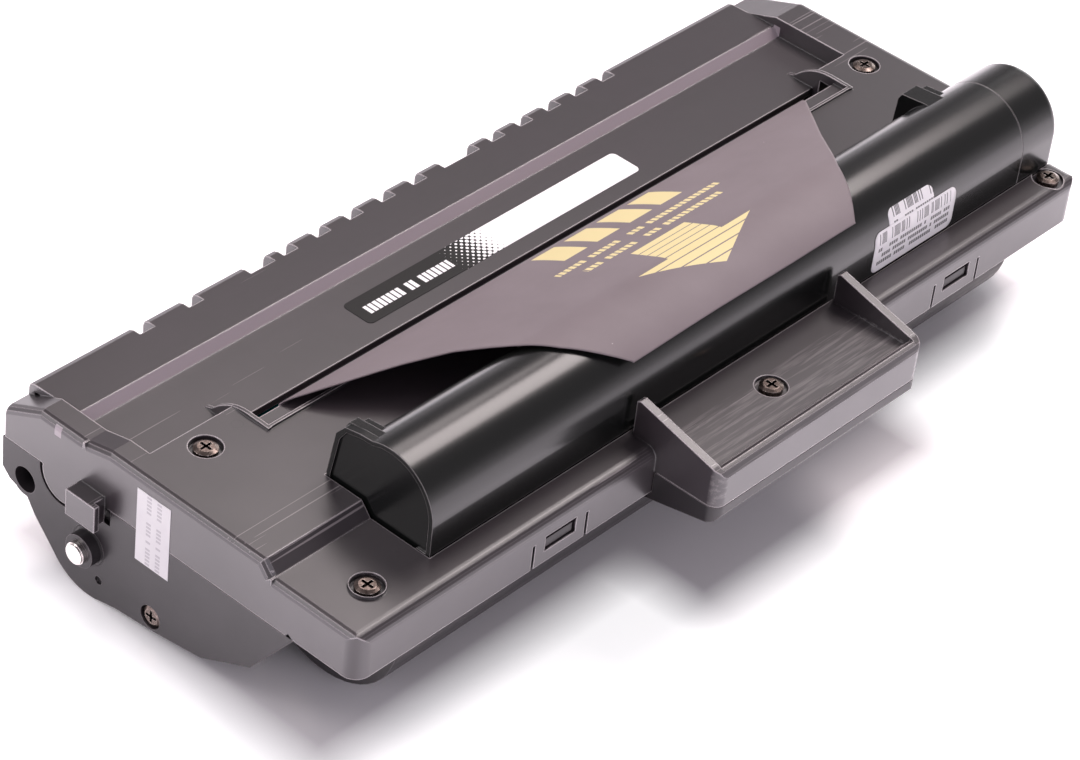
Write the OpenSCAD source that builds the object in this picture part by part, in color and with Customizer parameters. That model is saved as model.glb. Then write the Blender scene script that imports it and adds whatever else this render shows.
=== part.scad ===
// Toner cartridge for a desktop laser printer: drum, developer and toner hopper in one unit.
// The left end carries the contacts, the right end the gears. +X is the gear end, -Y the handle.

/* [Body] */
// Length of the body between its two end faces
body_l = 290; // [282:1:300]
// Depth from the front face of the flange to the rear edge of the top
body_d = 121; // [119:0.5:123]
// Height of the front flange above its lower edge
flange_h = 13.5; // [13:0.1:14]
// Height of the top plate above the lower edge of the flange
plate_h = 17.2; // [16.8:0.1:18]
// Height of the rear strip that carries the label
strip_h = 11.5; // [11:0.1:12]
// Wall thickness of the moulded covers
wall = 2.2; // [1.8:0.1:2.4]
// Radius along the top edges of the cover
edge_r = 2; // [1:0.1:2]
// Gap left between pieces that are fitted together
fit_gap = 0.2; // [0.1:0.05:0.3]
// Running clearance of a shaft in its bore, on the radius
run_gap = 0.06; // [0.02:0.01:0.09]

/* [Slot and rear strip] */
// Distance of the slot's left end from the left end face
slot_margin_l = 36.2; // [34:0.1:40]
// Distance of the slot's right end from the right end face
slot_margin_r = 25.8; // [24:0.1:30]
// Front rim of the slot behind the flange's front face
slot_front = 66.5; // [65:0.1:68]
// Depth of the ledge on which the sheet comes out
slot_ledge = 4.7; // [3:0.1:5]
// Depth of the clear opening of the slot
slot_gap = 6.8; // [6:0.1:7.2]
// Height of the thin fins that close the slot's ends, above the plate
fin_rise = 0.9; // [0.5:0.1:1.5]
// Where the low front-facing ridge of the rear strip starts
ridge_y = 101; // [99:0.5:103]
// Rise of the ridge
ridge_rise = 2.6; // [2:0.1:3]
// Width of the small notches in the rear edge
notch_w = 5; // [4:0.5:6]
// Depth of the notches in the rear edge
notch_d = 4.2; // [3:0.1:5]

/* [Handle] */
// Width of the handle over its side walls
handle_w = 82; // [70:1:90]
// Reach of the handle in front of the flange
handle_reach = 20.3; // [18:0.1:24]
// Offset of the handle from the middle of the body
handle_shift = 1.5; // [0:0.5:3]
// Height of the shelf between the handle's side walls
shelf_h = 15.4; // [15:0.1:16]
// Thickness of the handle's side walls
handle_t = 2.4; // [2:0.1:3]

/* [Hopper] */
// Radius of the round top of the toner hopper
hump_r = 15; // [14.5:0.1:15.2]
// Centre of the round top, behind the flange's front face
hump_y = 24.7; // [24.5:0.1:25.5]
// Height of the centre of the round top
hump_z = 22.3; // [21.5:0.1:23]
// Distance of the hopper's left end plate from the left end face
hump_margin_l = 33.8; // [32:0.1:36]
// Distance of the seam of the hopper's round end cap from the right end face
hump_margin_r = 21; // [20.5:0.1:22]
// Radius of the trough in which the agitator turns
trough_r = 21; // [20.5:0.1:21.5]
// Reach of the agitator film from its axis
paddle_r = 18.6; // [16:0.1:18.8]

/* [Drum and rollers] */
// Radius of the photosensitive drum
drum_r = 15; // [14.8:0.05:15]
// Wall thickness of the drum tube
drum_t = 0.9; // [0.7:0.1:1.2]
// Radius of the steel drum shaft
shaft_r = 3.1; // [3:0.05:3.2]
// Length by which the drum shaft stands out at each end
shaft_out = 5; // [4:0.5:6]
// Drum axis behind the flange's front face
drum_y = 90.3; // [89.8:0.1:90.6]
// Drum axis below the lower edge of the flange
drum_drop = 15.8; // [15.6:0.1:16]
// Radius of the rubber charge roller
charge_r = 4.5; // [4.2:0.1:4.6]
// Gap between a roller and the surface that it works on
nip_gap = 0.3; // [0.25:0.05:0.4]
// Radius of the supply roller's foam
supply_r = 6.8; // [6.4:0.1:6.9]
// Gear module of the train
gear_m = 0.8; // [0.78:0.01:0.81]
// Width of one gear plane
gear_w = 5.4; // [5:0.1:5.6]

/* [Hidden] */

$fn = 48;
far = 60;

// Overall frame: the origin is the middle of the footprint, on the surface that the part stands on
base_drop = drum_drop + drum_r + 0.8;
rib_reach = 1.4;
overall_front = -handle_reach;
overall_rear = body_d + rib_reach;

// Outlines of the cover, seen from the left end: y runs to the rear, z up
plate_y = 32.2;
step_run = 3.3;
front_round = 3;
slot_back = slot_front + slot_ledge + slot_gap;
rear_h = strip_h + ridge_rise;
rear_lip = 8.6;
flange_right = body_l - 4.5;
block_l = 7.6;
block_r = 12.7;
slot_x0 = slot_margin_l;
slot_x1 = body_l - slot_margin_r;

// Handle
handle_x0 = body_l / 2 + handle_shift - handle_w / 2;
handle_x1 = handle_x0 + handle_w;
handle_seam = 6.6;
handle_tail = 8;
handle_tail_h = 24.6;
handle_nose_h = 17.9;

// Stations along the length
left_cap_w = 11.5;
side_t = 2.4;
base_x0 = 22;
base_x1 = body_l - 23;
hump_x0 = hump_margin_l;
hump_x1 = body_l - hump_margin_r;
hump_cap_x1 = body_l - 4;
drum_x0 = 19;
drum_x1 = body_l - 25;
sleeve_x0 = 34;
sleeve_x1 = body_l - 28;
gear_x0 = body_l - 20.4;
gear_x1 = gear_x0 + gear_w + 1.2;
gear_end = gear_x1 + gear_w;
right_cap_x0 = body_l - 22.2;

// Gear train: teeth, radii and centres
drum_teeth = 34;
developer_teeth = 23;
supply_teeth = 17;
lower_idler_teeth = 18;
upper_idler_teeth = 20;
agitator_teeth = 26;
function pitch_r(teeth) = gear_m * teeth / 2;
function centre_gap(a, b) = pitch_r(a) + pitch_r(b);
function polar(r, angle) = [r * cos(angle), r * sin(angle)];

drum_c = [drum_y, -drum_drop];
developer_c = drum_c + polar(centre_gap(drum_teeth, developer_teeth), 185);
developer_r = centre_gap(drum_teeth, developer_teeth) - drum_r - nip_gap;
supply_c = developer_c + polar(developer_r + supply_r + nip_gap, 187);
charge_c = drum_c + polar(drum_r + charge_r + nip_gap, 72);
agitator_c = [30, -6];
hump_c = [hump_y, hump_z];

// The point at distance ra from a and rb from b, on the left of the way from a to b
function meet(a, ra, b, rb) =
    let (d = norm(b - a), u = (b - a) / d, along = (ra * ra - rb * rb + d * d) / (2 * d))
    a + along * u + sqrt(ra * ra - along * along) * [-u[1], u[0]];
function bearing(a, b) = atan2(b[1] - a[1], b[0] - a[0]);

lower_idler_c = meet(supply_c, centre_gap(supply_teeth, lower_idler_teeth),
    developer_c, centre_gap(developer_teeth, lower_idler_teeth));
upper_idler_c = meet(agitator_c, centre_gap(agitator_teeth, upper_idler_teeth),
    lower_idler_c, centre_gap(lower_idler_teeth, upper_idler_teeth));

// Turn of gear b that puts its gap on the tooth of gear a, which is itself turned by phase_a
function mesh_phase(a, phase_a, teeth_a, b, teeth_b) =
    let (line = bearing(a, b), part = (line - phase_a) * teeth_a / 360)
    line + 180 - 360 / teeth_b * (0.5 - part);
drum_phase = 0;
developer_phase = mesh_phase(drum_c, drum_phase, drum_teeth, developer_c, developer_teeth);
lower_idler_phase = mesh_phase(developer_c, developer_phase, developer_teeth,
    lower_idler_c, lower_idler_teeth);
supply_phase = mesh_phase(lower_idler_c, lower_idler_phase, lower_idler_teeth,
    supply_c, supply_teeth);
upper_idler_phase = mesh_phase(lower_idler_c, lower_idler_phase, lower_idler_teeth,
    upper_idler_c, upper_idler_teeth);
agitator_phase = mesh_phase(upper_idler_c, upper_idler_phase, upper_idler_teeth,
    agitator_c, agitator_teeth);

// Small shaft radii and screw sizes
developer_shaft_r = 3;
supply_shaft_r = 2.5;
charge_shaft_r = 2.5;
agitator_shaft_r = 3;
idler_pin_r = 2;
screw_r = 1.5;
screw_head_r = 3.2;
screw_head_h = 1.9;
recess_r = 4.4;
recess_d = 1.7;

plate_screws = [[19.5, 71], [body_l - 12.1, 71]];
flange_screws = [[15.2, 12.2], [body_l - 12.2, 5.4]];
handle_screw = [body_l / 2, -4];
cap_screw_c = [67.9, -24.4];
cap_screw_rear_c = [114, -3.6];

// Colours of the mouldings and metals
black = [0.13, 0.12, 0.125];
dark_green = [0.11, 0.125, 0.12];
steel = [0.72, 0.7, 0.68];
brass = [0.72, 0.56, 0.3];
natural = [0.88, 0.87, 0.82];

// Moves everything from the flange's corner to the overall frame and colours it
module place(tint) {
    shift_y = -(overall_front + overall_rear) / 2;
    color(tint) translate([-body_l / 2, shift_y, base_drop]) children();
}

// A path's points along an arc
function arc(c, r, a0, a1, steps = 8) =
    [for (i = [0 : steps]) c + polar(r, a0 + (a1 - a0) * i / steps)];
function back(path) = [for (i = [len(path) - 1 : -1 : 0]) path[i]];
function left_of(a, b) = let (d = (b - a) / norm(b - a)) [-d[1], d[0]];

// The same path moved sideways by t, to the left of its way when t is positive
function beside(path, t) = [for (i = [0 : len(path) - 1])
    let (n1 = left_of(path[max(i - 1, 0)], path[max(i, 1)]),
        n2 = left_of(path[min(i, len(path) - 2)], path[min(i + 1, len(path) - 1)]),
        s = n1 + n2)
    path[i] + t * 2 * s / (s * s)];

// A wall of thickness t on the left of a path
module wall_along(path, t) {
    polygon(concat(path, back(beside(path, t))));
}

// Carries an outline drawn in y and z along the length
module along_x(x0, x1) {
    translate([x0, 0, 0]) rotate([90, 0, 90]) linear_extrude(x1 - x0) children();
}

module rod(x0, x1, c, r) {
    translate([x0, c[0], c[1]]) rotate([0, 90, 0]) cylinder(h = x1 - x0, r = r);
}

module block(x, y, z) {
    translate([x[0], y[0], z[0]]) cube([x[1] - x[0], y[1] - y[0], z[1] - z[0]]);
}

module post(at, r, z0, z1) {
    translate([at[0], at[1], z0]) cylinder(h = z1 - z0, r = r);
}

module tube(x0, x1, c, r_out, r_in) {
    difference() {
        rod(x0, x1, c, r_out);
        rod(x0 - 1, x1 + 1, c, r_in);
    }
}

// Breaks the edge between two points of an end face into three narrow flats that follow a round of radius r
module round_edge(from, to, x, side, r, more = [3, 3]) {
    run = to - from;
    translate([x, from[0], from[1]]) rotate([atan2(run[1], run[0]), 0, 0]) rotate([-90, 0, 0])
        translate([0, 0, -more[0]]) linear_extrude(norm(run) + more[0] + more[1])
            mirror([side > 0 ? 0 : 1, 0, 0])
                polygon([[-2, -2], [r + 1, -2], [r + 1, -0.268], [0.5 * r, 0.134 * r], [0.134 * r, 0.5 * r],
                    [-0.268, r + 1], [-2, r + 1]]);
}

// Rounds a whole run of edges: cuts overlap where the run bends down and stop short where it bends up
module round_run(points, x, side, r) {
    last = len(points) - 2;
    for (i = [0 : last])
        round_edge(points[i], points[i + 1], x, side, r + 0.15 * (i % 2),
            [i == 0 ? 3 : mitre(points, i, r), i == last ? 3 : mitre(points, i + 1, r)]);
}
function mitre(points, i, r) =
    let (bend = bearing(points[i - 1], points[i]) - bearing(points[i], points[i + 1]))
    bend > 0 ? r * tan(bend / 2) + 0.4 : -0.3;

// Involute gear tooth, as half of its outline from root to tip
tip_reach = 0.92;
root_reach = 1.2;
backlash = 0.07;
function involute_angle(r, base) = let (t = sqrt(max(r * r / (base * base) - 1, 0)))
    t * 180 / PI - atan(t);
function tooth_half(teeth, r) =
    let (p = pitch_r(teeth), base = p * cos(20))
    90 / teeth - backlash / p * 180 / PI + involute_angle(p, base) - involute_angle(max(r, base), base);
function tooth_radii(teeth) =
    let (p = pitch_r(teeth), low = p - root_reach * gear_m, high = p + tip_reach * gear_m)
    [low, max(low + 0.1, p * cos(20)), p, (p + high) / 2, high];
function gear_outline(teeth) = [for (k = [0 : teeth - 1]) let (mid = k * 360 / teeth)
    each concat([for (r = tooth_radii(teeth)) polar(r, mid - tooth_half(teeth, r))],
        [for (r = back(tooth_radii(teeth))) polar(r, mid + tooth_half(teeth, r))])];

// A spur gear with a webbed face and a hub, bored for its shaft
module gear(teeth, c, phase, x0, x1, bore_r, hub_r, rim = 2.2, web = 1.6) {
    low = pitch_r(teeth) - root_reach * gear_m - rim;
    translate([0, c[0], c[1]]) rotate([phase, 0, 0]) translate([0, -c[0], -c[1]])
        difference() {
            translate([0, c[0], c[1]]) along_x(x0, x1) polygon(gear_outline(teeth));
            rod(x0 - 1, x1 + 1, c, bore_r);
            if (low > hub_r + 1) tube(x0 + web, x1 + 1, c, low, hub_r);
        }
}

// Cross-head screw, head up, with its head's seat at the origin
module screw(length, head_r = screw_head_r, head_h = screw_head_h) {
    difference() {
        union() {
            cylinder(h = head_h - 0.5, r = head_r);
            translate([0, 0, head_h - 0.5]) cylinder(h = 0.5, r1 = head_r, r2 = head_r - 1);
            translate([0, 0, -length]) cylinder(h = length, r = screw_r);
        }
        for (turn = [0, 90]) rotate([0, 0, turn])
            translate([-head_r * 0.56, -0.4, head_h * 0.4]) cube([head_r * 1.12, 0.8, 2]);
    }
}

// The front part that all cover outlines share, from the flange's lower edge to the plate
function cover_front() = concat([[0, 0]],
    arc([front_round, flange_h - front_round], front_round, 180, 90, 6),
    [[plate_y - step_run, flange_h], [plate_y, plate_h]]);
cover_mid = concat(cover_front(), [[slot_back, plate_h], [slot_back, strip_h], [ridge_y, strip_h],
    [ridge_y + 2.4, rear_h], [body_d - 2, rear_h - 0.5]],
    [[body_d - 0.5, rear_h - 1.1], [body_d, rear_h - 2.4], [body_d, rear_lip]]);
left_ends = [[84.5, plate_h], [93, plate_h - 2], [109, plate_h - 2],
    [body_d, plate_h - 7.8]];
right_ends = [[103, plate_h], [body_d, plate_h - 6.5]];
function ends_outline(ends) = concat(cover_front(), ends, [[body_d, 0]]);
function room_under(path) = concat([[wall, -far]], [[wall, 0]],
    [for (i = [1 : len(path) - 2]) beside(path, -wall)[i]],
    [[body_d - wall, 0], [body_d - wall, -far]]);

// One end block of the cover: closed end face, hollow behind, and a wall up from the strip
module cover_end(ends, x_face, x_in, inner_side) {
    outline = ends_outline(ends);
    low = min(x_face, x_in);
    high = max(x_face, x_in);
    shell = inner_side > 0 ? [low + wall, high + 1] : [low - 1, high - wall];
    inner = inner_side > 0 ? [high - wall, high] : [low, low + wall];
    difference() {
        along_x(low, high) polygon(outline);
        along_x(shell[0], shell[1]) polygon(room_under(outline));
    }
    difference() {
        along_x(inner[0], inner[1]) polygon(outline);
        along_x(inner[0] - 1, inner[1] + 1) polygon(room_under(cover_mid));
    }
}

// Thin fin that closes one end of the slot and runs down to the strip in an arc
module slot_fin(x0) {
    along_x(x0, x0 + 1.2) polygon(concat(
        [[slot_front - 1.2, plate_h - wall], [slot_front - 1.2, plate_h + 0.7]],
        arc([slot_back - 5, strip_h - 8.4], plate_h - strip_h + 8.4 + fin_rise, 90, 38, 8),
        [[slot_back + 11, strip_h - 0.6], [slot_back, strip_h - 0.6], [slot_back, plate_h - wall]]));
}

// Round boss under the top face, with its screw hole drilled later
module cover_boss(at, top) {
    post(at, 5.2, top - 5, top - 0.5);
}

module screw_hole(at, top) {
    post(at, recess_r, top - recess_d, top + 5);
    post(at, screw_r + fit_gap, top - 12, top + 1);
}

function notch_starts() = [for (i = [0 : 1]) 41 + 17 * i, for (i = [0 : 5]) 92 + 12.2 * i,
    for (i = [0 : 4]) 172 + 11.4 * i];
wide_notches = [[80, 8.6], [157, 9.6]];

// Upper half of the handle: side walls, shelf, front lip
module handle_top() {
    side = [[handle_tail, flange_h - 1], [handle_tail, handle_tail_h - 0.6], [handle_tail - 1, handle_tail_h],
        [-handle_reach + 3, handle_nose_h + 0.3], [-handle_reach + 1, handle_nose_h - 0.6],
        [-handle_reach, handle_nose_h - 2.4], [-handle_reach, handle_seam], [0.5, handle_seam]];
    nose = [[-handle_reach, handle_seam], [-handle_reach, handle_nose_h - 2.4],
        [-handle_reach + 1, handle_nose_h - 0.6], [-handle_reach + 2, handle_nose_h - 0.2],
        [-handle_reach + 3.2, handle_nose_h - 0.6], [-handle_reach + 3.2, shelf_h + 0.8],
        [-handle_reach + 4.2, shelf_h + 0.8], [-handle_reach + 4.2, shelf_h], [0.5, shelf_h],
        [0.5, shelf_h - wall], [-handle_reach + wall, shelf_h - wall], [-handle_reach + wall, handle_seam]];
    difference() {
        union() {
            for (x = [handle_x0, handle_x1 - handle_t]) along_x(x, x + handle_t) polygon(side);
            along_x(handle_x0, handle_x1) polygon(nose);
            block([handle_x0 + 1, handle_x1 - 1], [0, hump_y - hump_r - 1], [shelf_h - wall, shelf_h]);
            for (x = [handle_x0 + 13 : 11 : handle_x1 - 13])
                block([x, x + 1.2], [-handle_reach + 1, 0.5], [handle_seam + 1, shelf_h - 1]);
        }
        for (x = [handle_x0, handle_x1]) translate([x, -handle_reach, 0]) corner_cut(3.2, x == handle_x0);
    }
}

// Quarter-round cut along an upright corner whose flat sides face -Y and -X or +X
module corner_cut(r, left) {
    mirror([left ? 0 : 1, 0, 0]) translate([0, 0, -1]) linear_extrude(far) difference() {
        translate([-1, -1]) square(r + 1);
        translate([r, r]) circle(r);
    }
}

module latch_slits(x) {
    for (s = [x, x + 19.4]) block([s, s + 0.9], [-1, wall + 1], [-1, 7.6]);
    block([x + 4.6, x + 15.8], [-1, wall + 1], [3.6, 8.2]);
}

latch_x = [60.6, body_l - 69.6];

module top_cover() place(black) {
    difference() {
        union() {
            along_x(block_l, body_l - block_r) wall_along(cover_mid, -wall);
            cover_end(left_ends, 0, block_l, 1);
            cover_end(right_ends, body_l, body_l - block_r, -1);
            for (at = plate_screws) cover_boss(at, plate_h);
            post(flange_screws[0], 4.6, flange_h - 4, flange_h + 0.8);
            difference() {
                post(flange_screws[1], 4.2, flange_h - 4, flange_h + 0.8);
                block([0, body_l], [hump_y - hump_r - 0.5, 20], [-1, far]);
            }
            handle_top();
            lobe();
            hook();
        }
        slot_cut();
        hump_cut();
        edges_cut();
        for (at = plate_screws) screw_hole(at, plate_h);
        for (at = flange_screws) screw_hole(at, flange_h + 0.8);
        screw_hole(handle_screw, shelf_h + 0.6);
        for (x = latch_x) latch_slits(x);
        for (x = notch_starts()) rear_notch(x, notch_w);
        for (n = wide_notches) rear_notch(n[0], n[1]);
        block([flange_right, body_l + 1], [-1, hump_y + 7.5], [-1, far]);
    }
    slot_fin(slot_x0 - 1.2);
    slot_fin(slot_x1);
    block([slot_x0, slot_x1], [slot_front - 1, slot_front], [plate_h, plate_h + 0.7]);
}

// The notches show the paper guide ribs of the waste frame behind the edge
module rear_notch(x, w) {
    block([x, x + w], [body_d - notch_d, body_d + 1], [-1, far]);
}

// Ledge and opening of the slot
module slot_cut() {
    block([slot_x0, slot_x1], [slot_front, slot_back + 0.01], [plate_h - 0.8, far]);
    block([slot_x0, slot_x1], [slot_front + slot_ledge, slot_back + 0.01], [-1, far]);
}

module hump_cut() {
    block([hump_x0 - fit_gap, body_l + 1], [hump_y - hump_r - fit_gap, hump_foot + fit_gap], [-1, far]);
}

module edges_cut() {
    left = concat([[0, flange_h], [plate_y - step_run, flange_h], [plate_y, plate_h]], left_ends);
    right = concat([[plate_y, plate_h]], right_ends);
    round_run(left, 0, 1, edge_r);
    round_run(right, body_l, -1, edge_r);
    round_run([[0, flange_h], [hump_y - hump_r, flange_h]], flange_right, -1, edge_r);
    corner_cut(4.5, true);
    translate([flange_right, 0, 0]) corner_cut(4.5, false);
}

// Rounded tongue of the left skirt that hangs over the end cap
lobe_c = [100.3, -1];
lobe_r = 7;
module lobe() {
    intersection() {
        rod(0, wall, lobe_c, lobe_r);
        block([-1, wall + 1], [80, body_d], [-far, 0.5]);
    }
}

// Guide hook that stands out of the left end face
module hook() {
    block([-shaft_out, wall], [85, 93.6], [0.2, 3.2]);
    block([-shaft_out, 0], [85, 93.6], [-4.6, 3.2]);
    block([-shaft_out, -shaft_out + 1.6], [83.4, 85.1], [-4.6, 3.2]);
}

// Outline of the hopper's hump: a round top that runs down to a front wall and a hollow rear foot
hump_foot = 44.4;
weld_z = 1;
weld_t = 2;
roof_z = plate_h - wall - 0.4;
hump_rear = [hump_c + polar(hump_r, 12), [hump_y + hump_r + 1.2, plate_h + 3.6],
    [hump_y + hump_r + 2.6, plate_h + 1.2], [hump_foot, plate_h]];
hopper_rear = concat(hump_rear, [[hump_foot, roof_z], [52.6, roof_z], [54.8, roof_z - 2.2], [54.8, weld_z]]);
roof_path = [[hump_y - hump_r, weld_z], [hump_y - hump_r, roof_z - 3.6],
    [plate_y - step_run, roof_z - 3.6], [plate_y + 1, roof_z], [52.6, roof_z], [54.8, roof_z - 2.2],
    [54.8, weld_z]];
function from_tangent(rear, t) =
    let (path = concat([hump_c + polar(hump_r, 26)], rear), side = beside(path, -t))
    [for (i = [1 : len(side) - 1]) side[i]];

// The section of the hump, drawn t inside its outer skin, down to the height foot
module hump_section(rear, t, foot) {
    translate(hump_c) circle(hump_r - t, $fn = 96);
    polygon(concat([[hump_y - hump_r + t, foot], [hump_y - hump_r + t, hump_z]], from_tangent(rear, t)));
}

module toner_hopper() place(dark_green) {
    difference() {
        union() {
            along_x(hump_x0 + 1.4, hump_x1) hump_section(hopper_rear, 0, weld_z);
            along_x(base_x0, hump_x0 + 2) polygon(roof_path);
            for (y = [[base_front, hump_y - hump_r + 1], [54, 57]]) block([base_x0, hump_x1], y, [weld_z, weld_z + weld_t]);
            end_rim();
            grip_bar([hump_x0 + 2, hump_x0 + 4.8, hump_x0 + 7.4]);
            grip_bar([body_l - 39, body_l - 32.5, body_l - 29]);
        }
        along_x(hump_x0 + 2.4, hump_x1 - side_t) hump_section(hopper_rear, wall, weld_z - 1);
        along_x(base_x0 + side_t, hump_x0 + 3) polygon(concat([[hump_y - hump_r + wall, weld_z - 1]],
            [for (i = [1 : len(roof_path) - 2]) beside(roof_path, -wall)[i]], [[54.8 - wall, weld_z - 1]]));
        rod(hump_x1 - side_t - 1, hump_x1 + 1, upper_idler_c, idler_pin_r + 0.05);
    }
}

// Slim raised rim round the hopper's left end plate, which rises a little behind the round top
rim_w = 1.3;
module plate_shape(inset) {
    top = hump_z + hump_r - inset;
    translate(hump_c) circle(hump_r - inset, $fn = 96);
    polygon([[hump_y - hump_r + inset, 12.4 + inset], [hump_y - hump_r + inset, hump_z], [hump_y, hump_z + 4],
        [hump_y + 3, top - 1], [34.7, top - 1.5], [39.6 - inset / 2, top - 2.5], [42.3 - inset, top - 5.7],
        [hump_foot - inset, plate_h + 1], [hump_foot - inset, 12.4 + inset]]);
}
module end_rim() {
    difference() {
        along_x(hump_x0, hump_x0 + 2.2) plate_shape(0);
        along_x(hump_x0 - 1, hump_x0 + 0.6) plate_shape(rim_w);
    }
}

// Two-step bar that fills the corner behind the round top
module grip_bar(x) {
    top = hump_z + hump_r;
    for (i = [0, 1]) along_x(x[i], x[i + 1])
        polygon([[hump_y + 2, top - 3 - i], [hump_y + 3, top - 1 - i], [40 - i, top - 2.2 - i],
            [41 - i, top - 4 - i], [42, plate_h + 2.2], [hump_y + 12, plate_h + 2.2]]);
}

// Round end cap that closes the hump at the gear end
cap_r = 3;
module hopper_end_cap() place(dark_green) {
    x0 = hump_x1 + fit_gap;
    foot = plate_h + 0.1;
    rear = concat([for (i = [0 : 2]) hump_rear[i]], [[hump_foot, foot]]);
    inner = from_tangent(concat(rear, [[hump_foot + 3, foot]]), wall);
    difference() {
        union() {
            along_x(x0, hump_cap_x1) union() {
                translate(hump_c) circle(hump_r, $fn = 96);
                polygon(concat([[hump_y - hump_r, 0.2], [hump_y - hump_r, hump_z]], rear, [[hump_y, foot], [hump_y, 0.2]]));
            }
            along_x(hump_cap_x1 - wall, hump_cap_x1) polygon([[hump_y - 2, 0.2], [hump_y - 2, foot], [hump_foot - 1, foot],
                [hump_foot - 1, 0.2]]);
        }
        along_x(x0 - 1, hump_cap_x1 - wall) union() {
            translate(hump_c) circle(hump_r - wall, $fn = 96);
            polygon([[hump_y - hump_r + wall, -1], [hump_y - hump_r + wall, hump_z], inner[0], inner[1],
                [hump_foot - 4, foot - 0.1], [hump_foot - 1.1, foot - 0.1], [hump_foot - 1.1, -1]]);
        }
        cap_round();
    }
}

// Rounds the outer edge of the end cap over the round top only
module cap_round() {
    intersection() {
        translate([hump_cap_x1, hump_y, hump_z]) rotate([0, 90, 0]) rotate_extrude($fn = 96) difference() {
            translate([hump_r - cap_r, -cap_r]) square([cap_r + 1, cap_r + 1]);
            translate([hump_r - cap_r, -cap_r]) circle(cap_r, $fn = 48);
        }
        union() {
            block([hump_x1, body_l], [-1, hump_y + hump_r * 0.9], [hump_z, far]);
        }
    }
    translate([hump_cap_x1, hump_y - hump_r, 0]) corner_cut_to(cap_r, hump_z);
}

// Quarter-round cut along an upright corner, up to a height
module corner_cut_to(r, high) {
    intersection() {
        corner_cut(r, false);
        translate([-far, -far, -2]) cube([2 * far, 2 * far, high + 2]);
    }
}

// Lower housing: agitator trough, supply chamber, blade wall, end walls, front floor and handle tray
base_front = agitator_c[0] - trough_r - wall;
supply_bay_r = supply_r + 0.8;
trough_dip = meet(supply_c, supply_bay_r + wall, agitator_c, trough_r + wall);
base_path = concat([[base_front, weld_z]],
    arc(agitator_c, trough_r + wall, 180, 360 + bearing(agitator_c, trough_dip), 18),
    arc(supply_c, supply_bay_r + wall, 360 + bearing(supply_c, trough_dip) + 6, 292, 4),
    [[developer_c[0] - 2, developer_c[1] - developer_r - 3.2], [developer_c[0] + 5, developer_c[1] - developer_r - 1.7]]);

// The blade lies on a slanted line that just clears the developer roller
blade_dir = polar(1, -48);
blade_n = polar(1, 42);
blade_tip = developer_c + polar(developer_r + nip_gap, 110);
function on_blade(back_off, up) = blade_tip - blade_dir * back_off + blade_n * up;

front_floor = [-1.4, -0.2];
side_path = concat(base_path, [[74.6, -27], [74.6, -9], [67, -2], [60, weld_z]]);

module hopper_base() place(black) {
    difference() {
        union() {
            along_x(base_x0, base_x1) wall_along(base_path, wall);
            along_x(base_x0, base_x1) wall_along([on_blade(5, 0), on_blade(13, 0), [55.2, weld_z]], wall);
            for (x = [base_x0, base_x1 - side_t]) along_x(x, x + side_t) polygon(side_path);
            for (y = [[base_front, base_front + 4], [51.6, 57]])
                block([base_x0, base_x1], y, [weld_z - weld_t, weld_z]);
            block([4, flange_right - 3], [wall + fit_gap, base_front + 1], front_floor);
            block([4, base_x0 + 1], [wall + fit_gap, 18], front_floor);
            handle_tray();
            cover_posts();
            latch_hooks();
            belly_ribs();
            cap_boss();
        }
        for (x = [[base_x0 - 1, base_x0 + side_t + 1], [base_x1 - side_t - 1, base_x1 + 1]]) {
            rod(x[0], x[1], agitator_c, agitator_shaft_r + run_gap);
            rod(x[0], x[1], developer_c, bush_r + 0.05);
            rod(x[0], x[1], supply_c, small_bush_r + 0.05);
        }
        rod(base_x0 - 1, base_x0 + side_t + 1, plug_c, plug_r + 0.1);
        rod(base_x1 - side_t - 1, base_x1 + 1, lower_idler_c, idler_pin_r + 0.05);
        rod(base_x0 - 2, base_x0 + side_t + 1, cap_screw_c, screw_r + 0.05);
    }
}

// Boss for the left end cap's screw, cut away round the developer roller's bush
module cap_boss() {
    difference() {
        tube(left_cap_w + fit_gap, base_x0 + 0.5, cap_screw_c, 3, screw_r + 0.05);
        rod(base_x0 - 1 - fit_gap, base_x0 + 1, developer_c, bush_r + 1 + fit_gap);
    }
}

// Carries the handle's lower half and its screw post
tray_path = [[-handle_reach, handle_seam - fit_gap], [-handle_reach, 3.6], [-handle_reach + 0.8, 2.2],
    [-handle_reach + 2.6, 1.4], [0, -2.4], [base_front + 0.6, -3.9]];
module handle_tray() {
    difference() {
        union() {
            along_x(handle_x0, handle_x1) wall_along(tray_path, wall);
            for (x = [handle_x0, handle_x1 - wall]) along_x(x, x + wall)
                polygon(concat(tray_path, [[base_front + 0.6, -0.3], [-0.2, -0.3], [-0.2, handle_seam - fit_gap]]));
        }
        for (x = [handle_x0, handle_x1]) translate([x, -handle_reach, -2]) corner_cut(3.2, x == handle_x0);
    }
    difference() {
        post(handle_screw, 3.2, 0.2, shelf_h - wall);
        post(handle_screw, screw_r + 0.05, 2, far);
    }
}

// Posts into which the cover's screws go
module cover_posts() {
    difference() {
        union() {
            post(plate_screws[0], 3.4, -7, plate_h - 5);
            block([plate_screws[0][0], base_x0 + 1], [plate_screws[0][1] - 1, plate_screws[0][1] + 1], [-7, 1]);
            for (at = flange_screws) post(at, 3, front_floor[0], flange_h - 4);
            block([flange_screws[1][0] - 8, flange_right - 3], [wall + fit_gap, 8.6], front_floor);
        }
        for (at = plate_screws) post(at, screw_r + 0.05, -4, far);
        for (at = flange_screws) post(at, screw_r + 0.05, 0.6, far);
    }
}

module latch_hooks() {
    for (x = latch_x) {
        block([x + 5.4, x + 15], [wall + fit_gap, wall + 2], [-1, 7.8]);
        block([x + 5.4, x + 15], [0.6, wall + 0.5], [4.2, 6.6]);
    }
}

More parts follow.
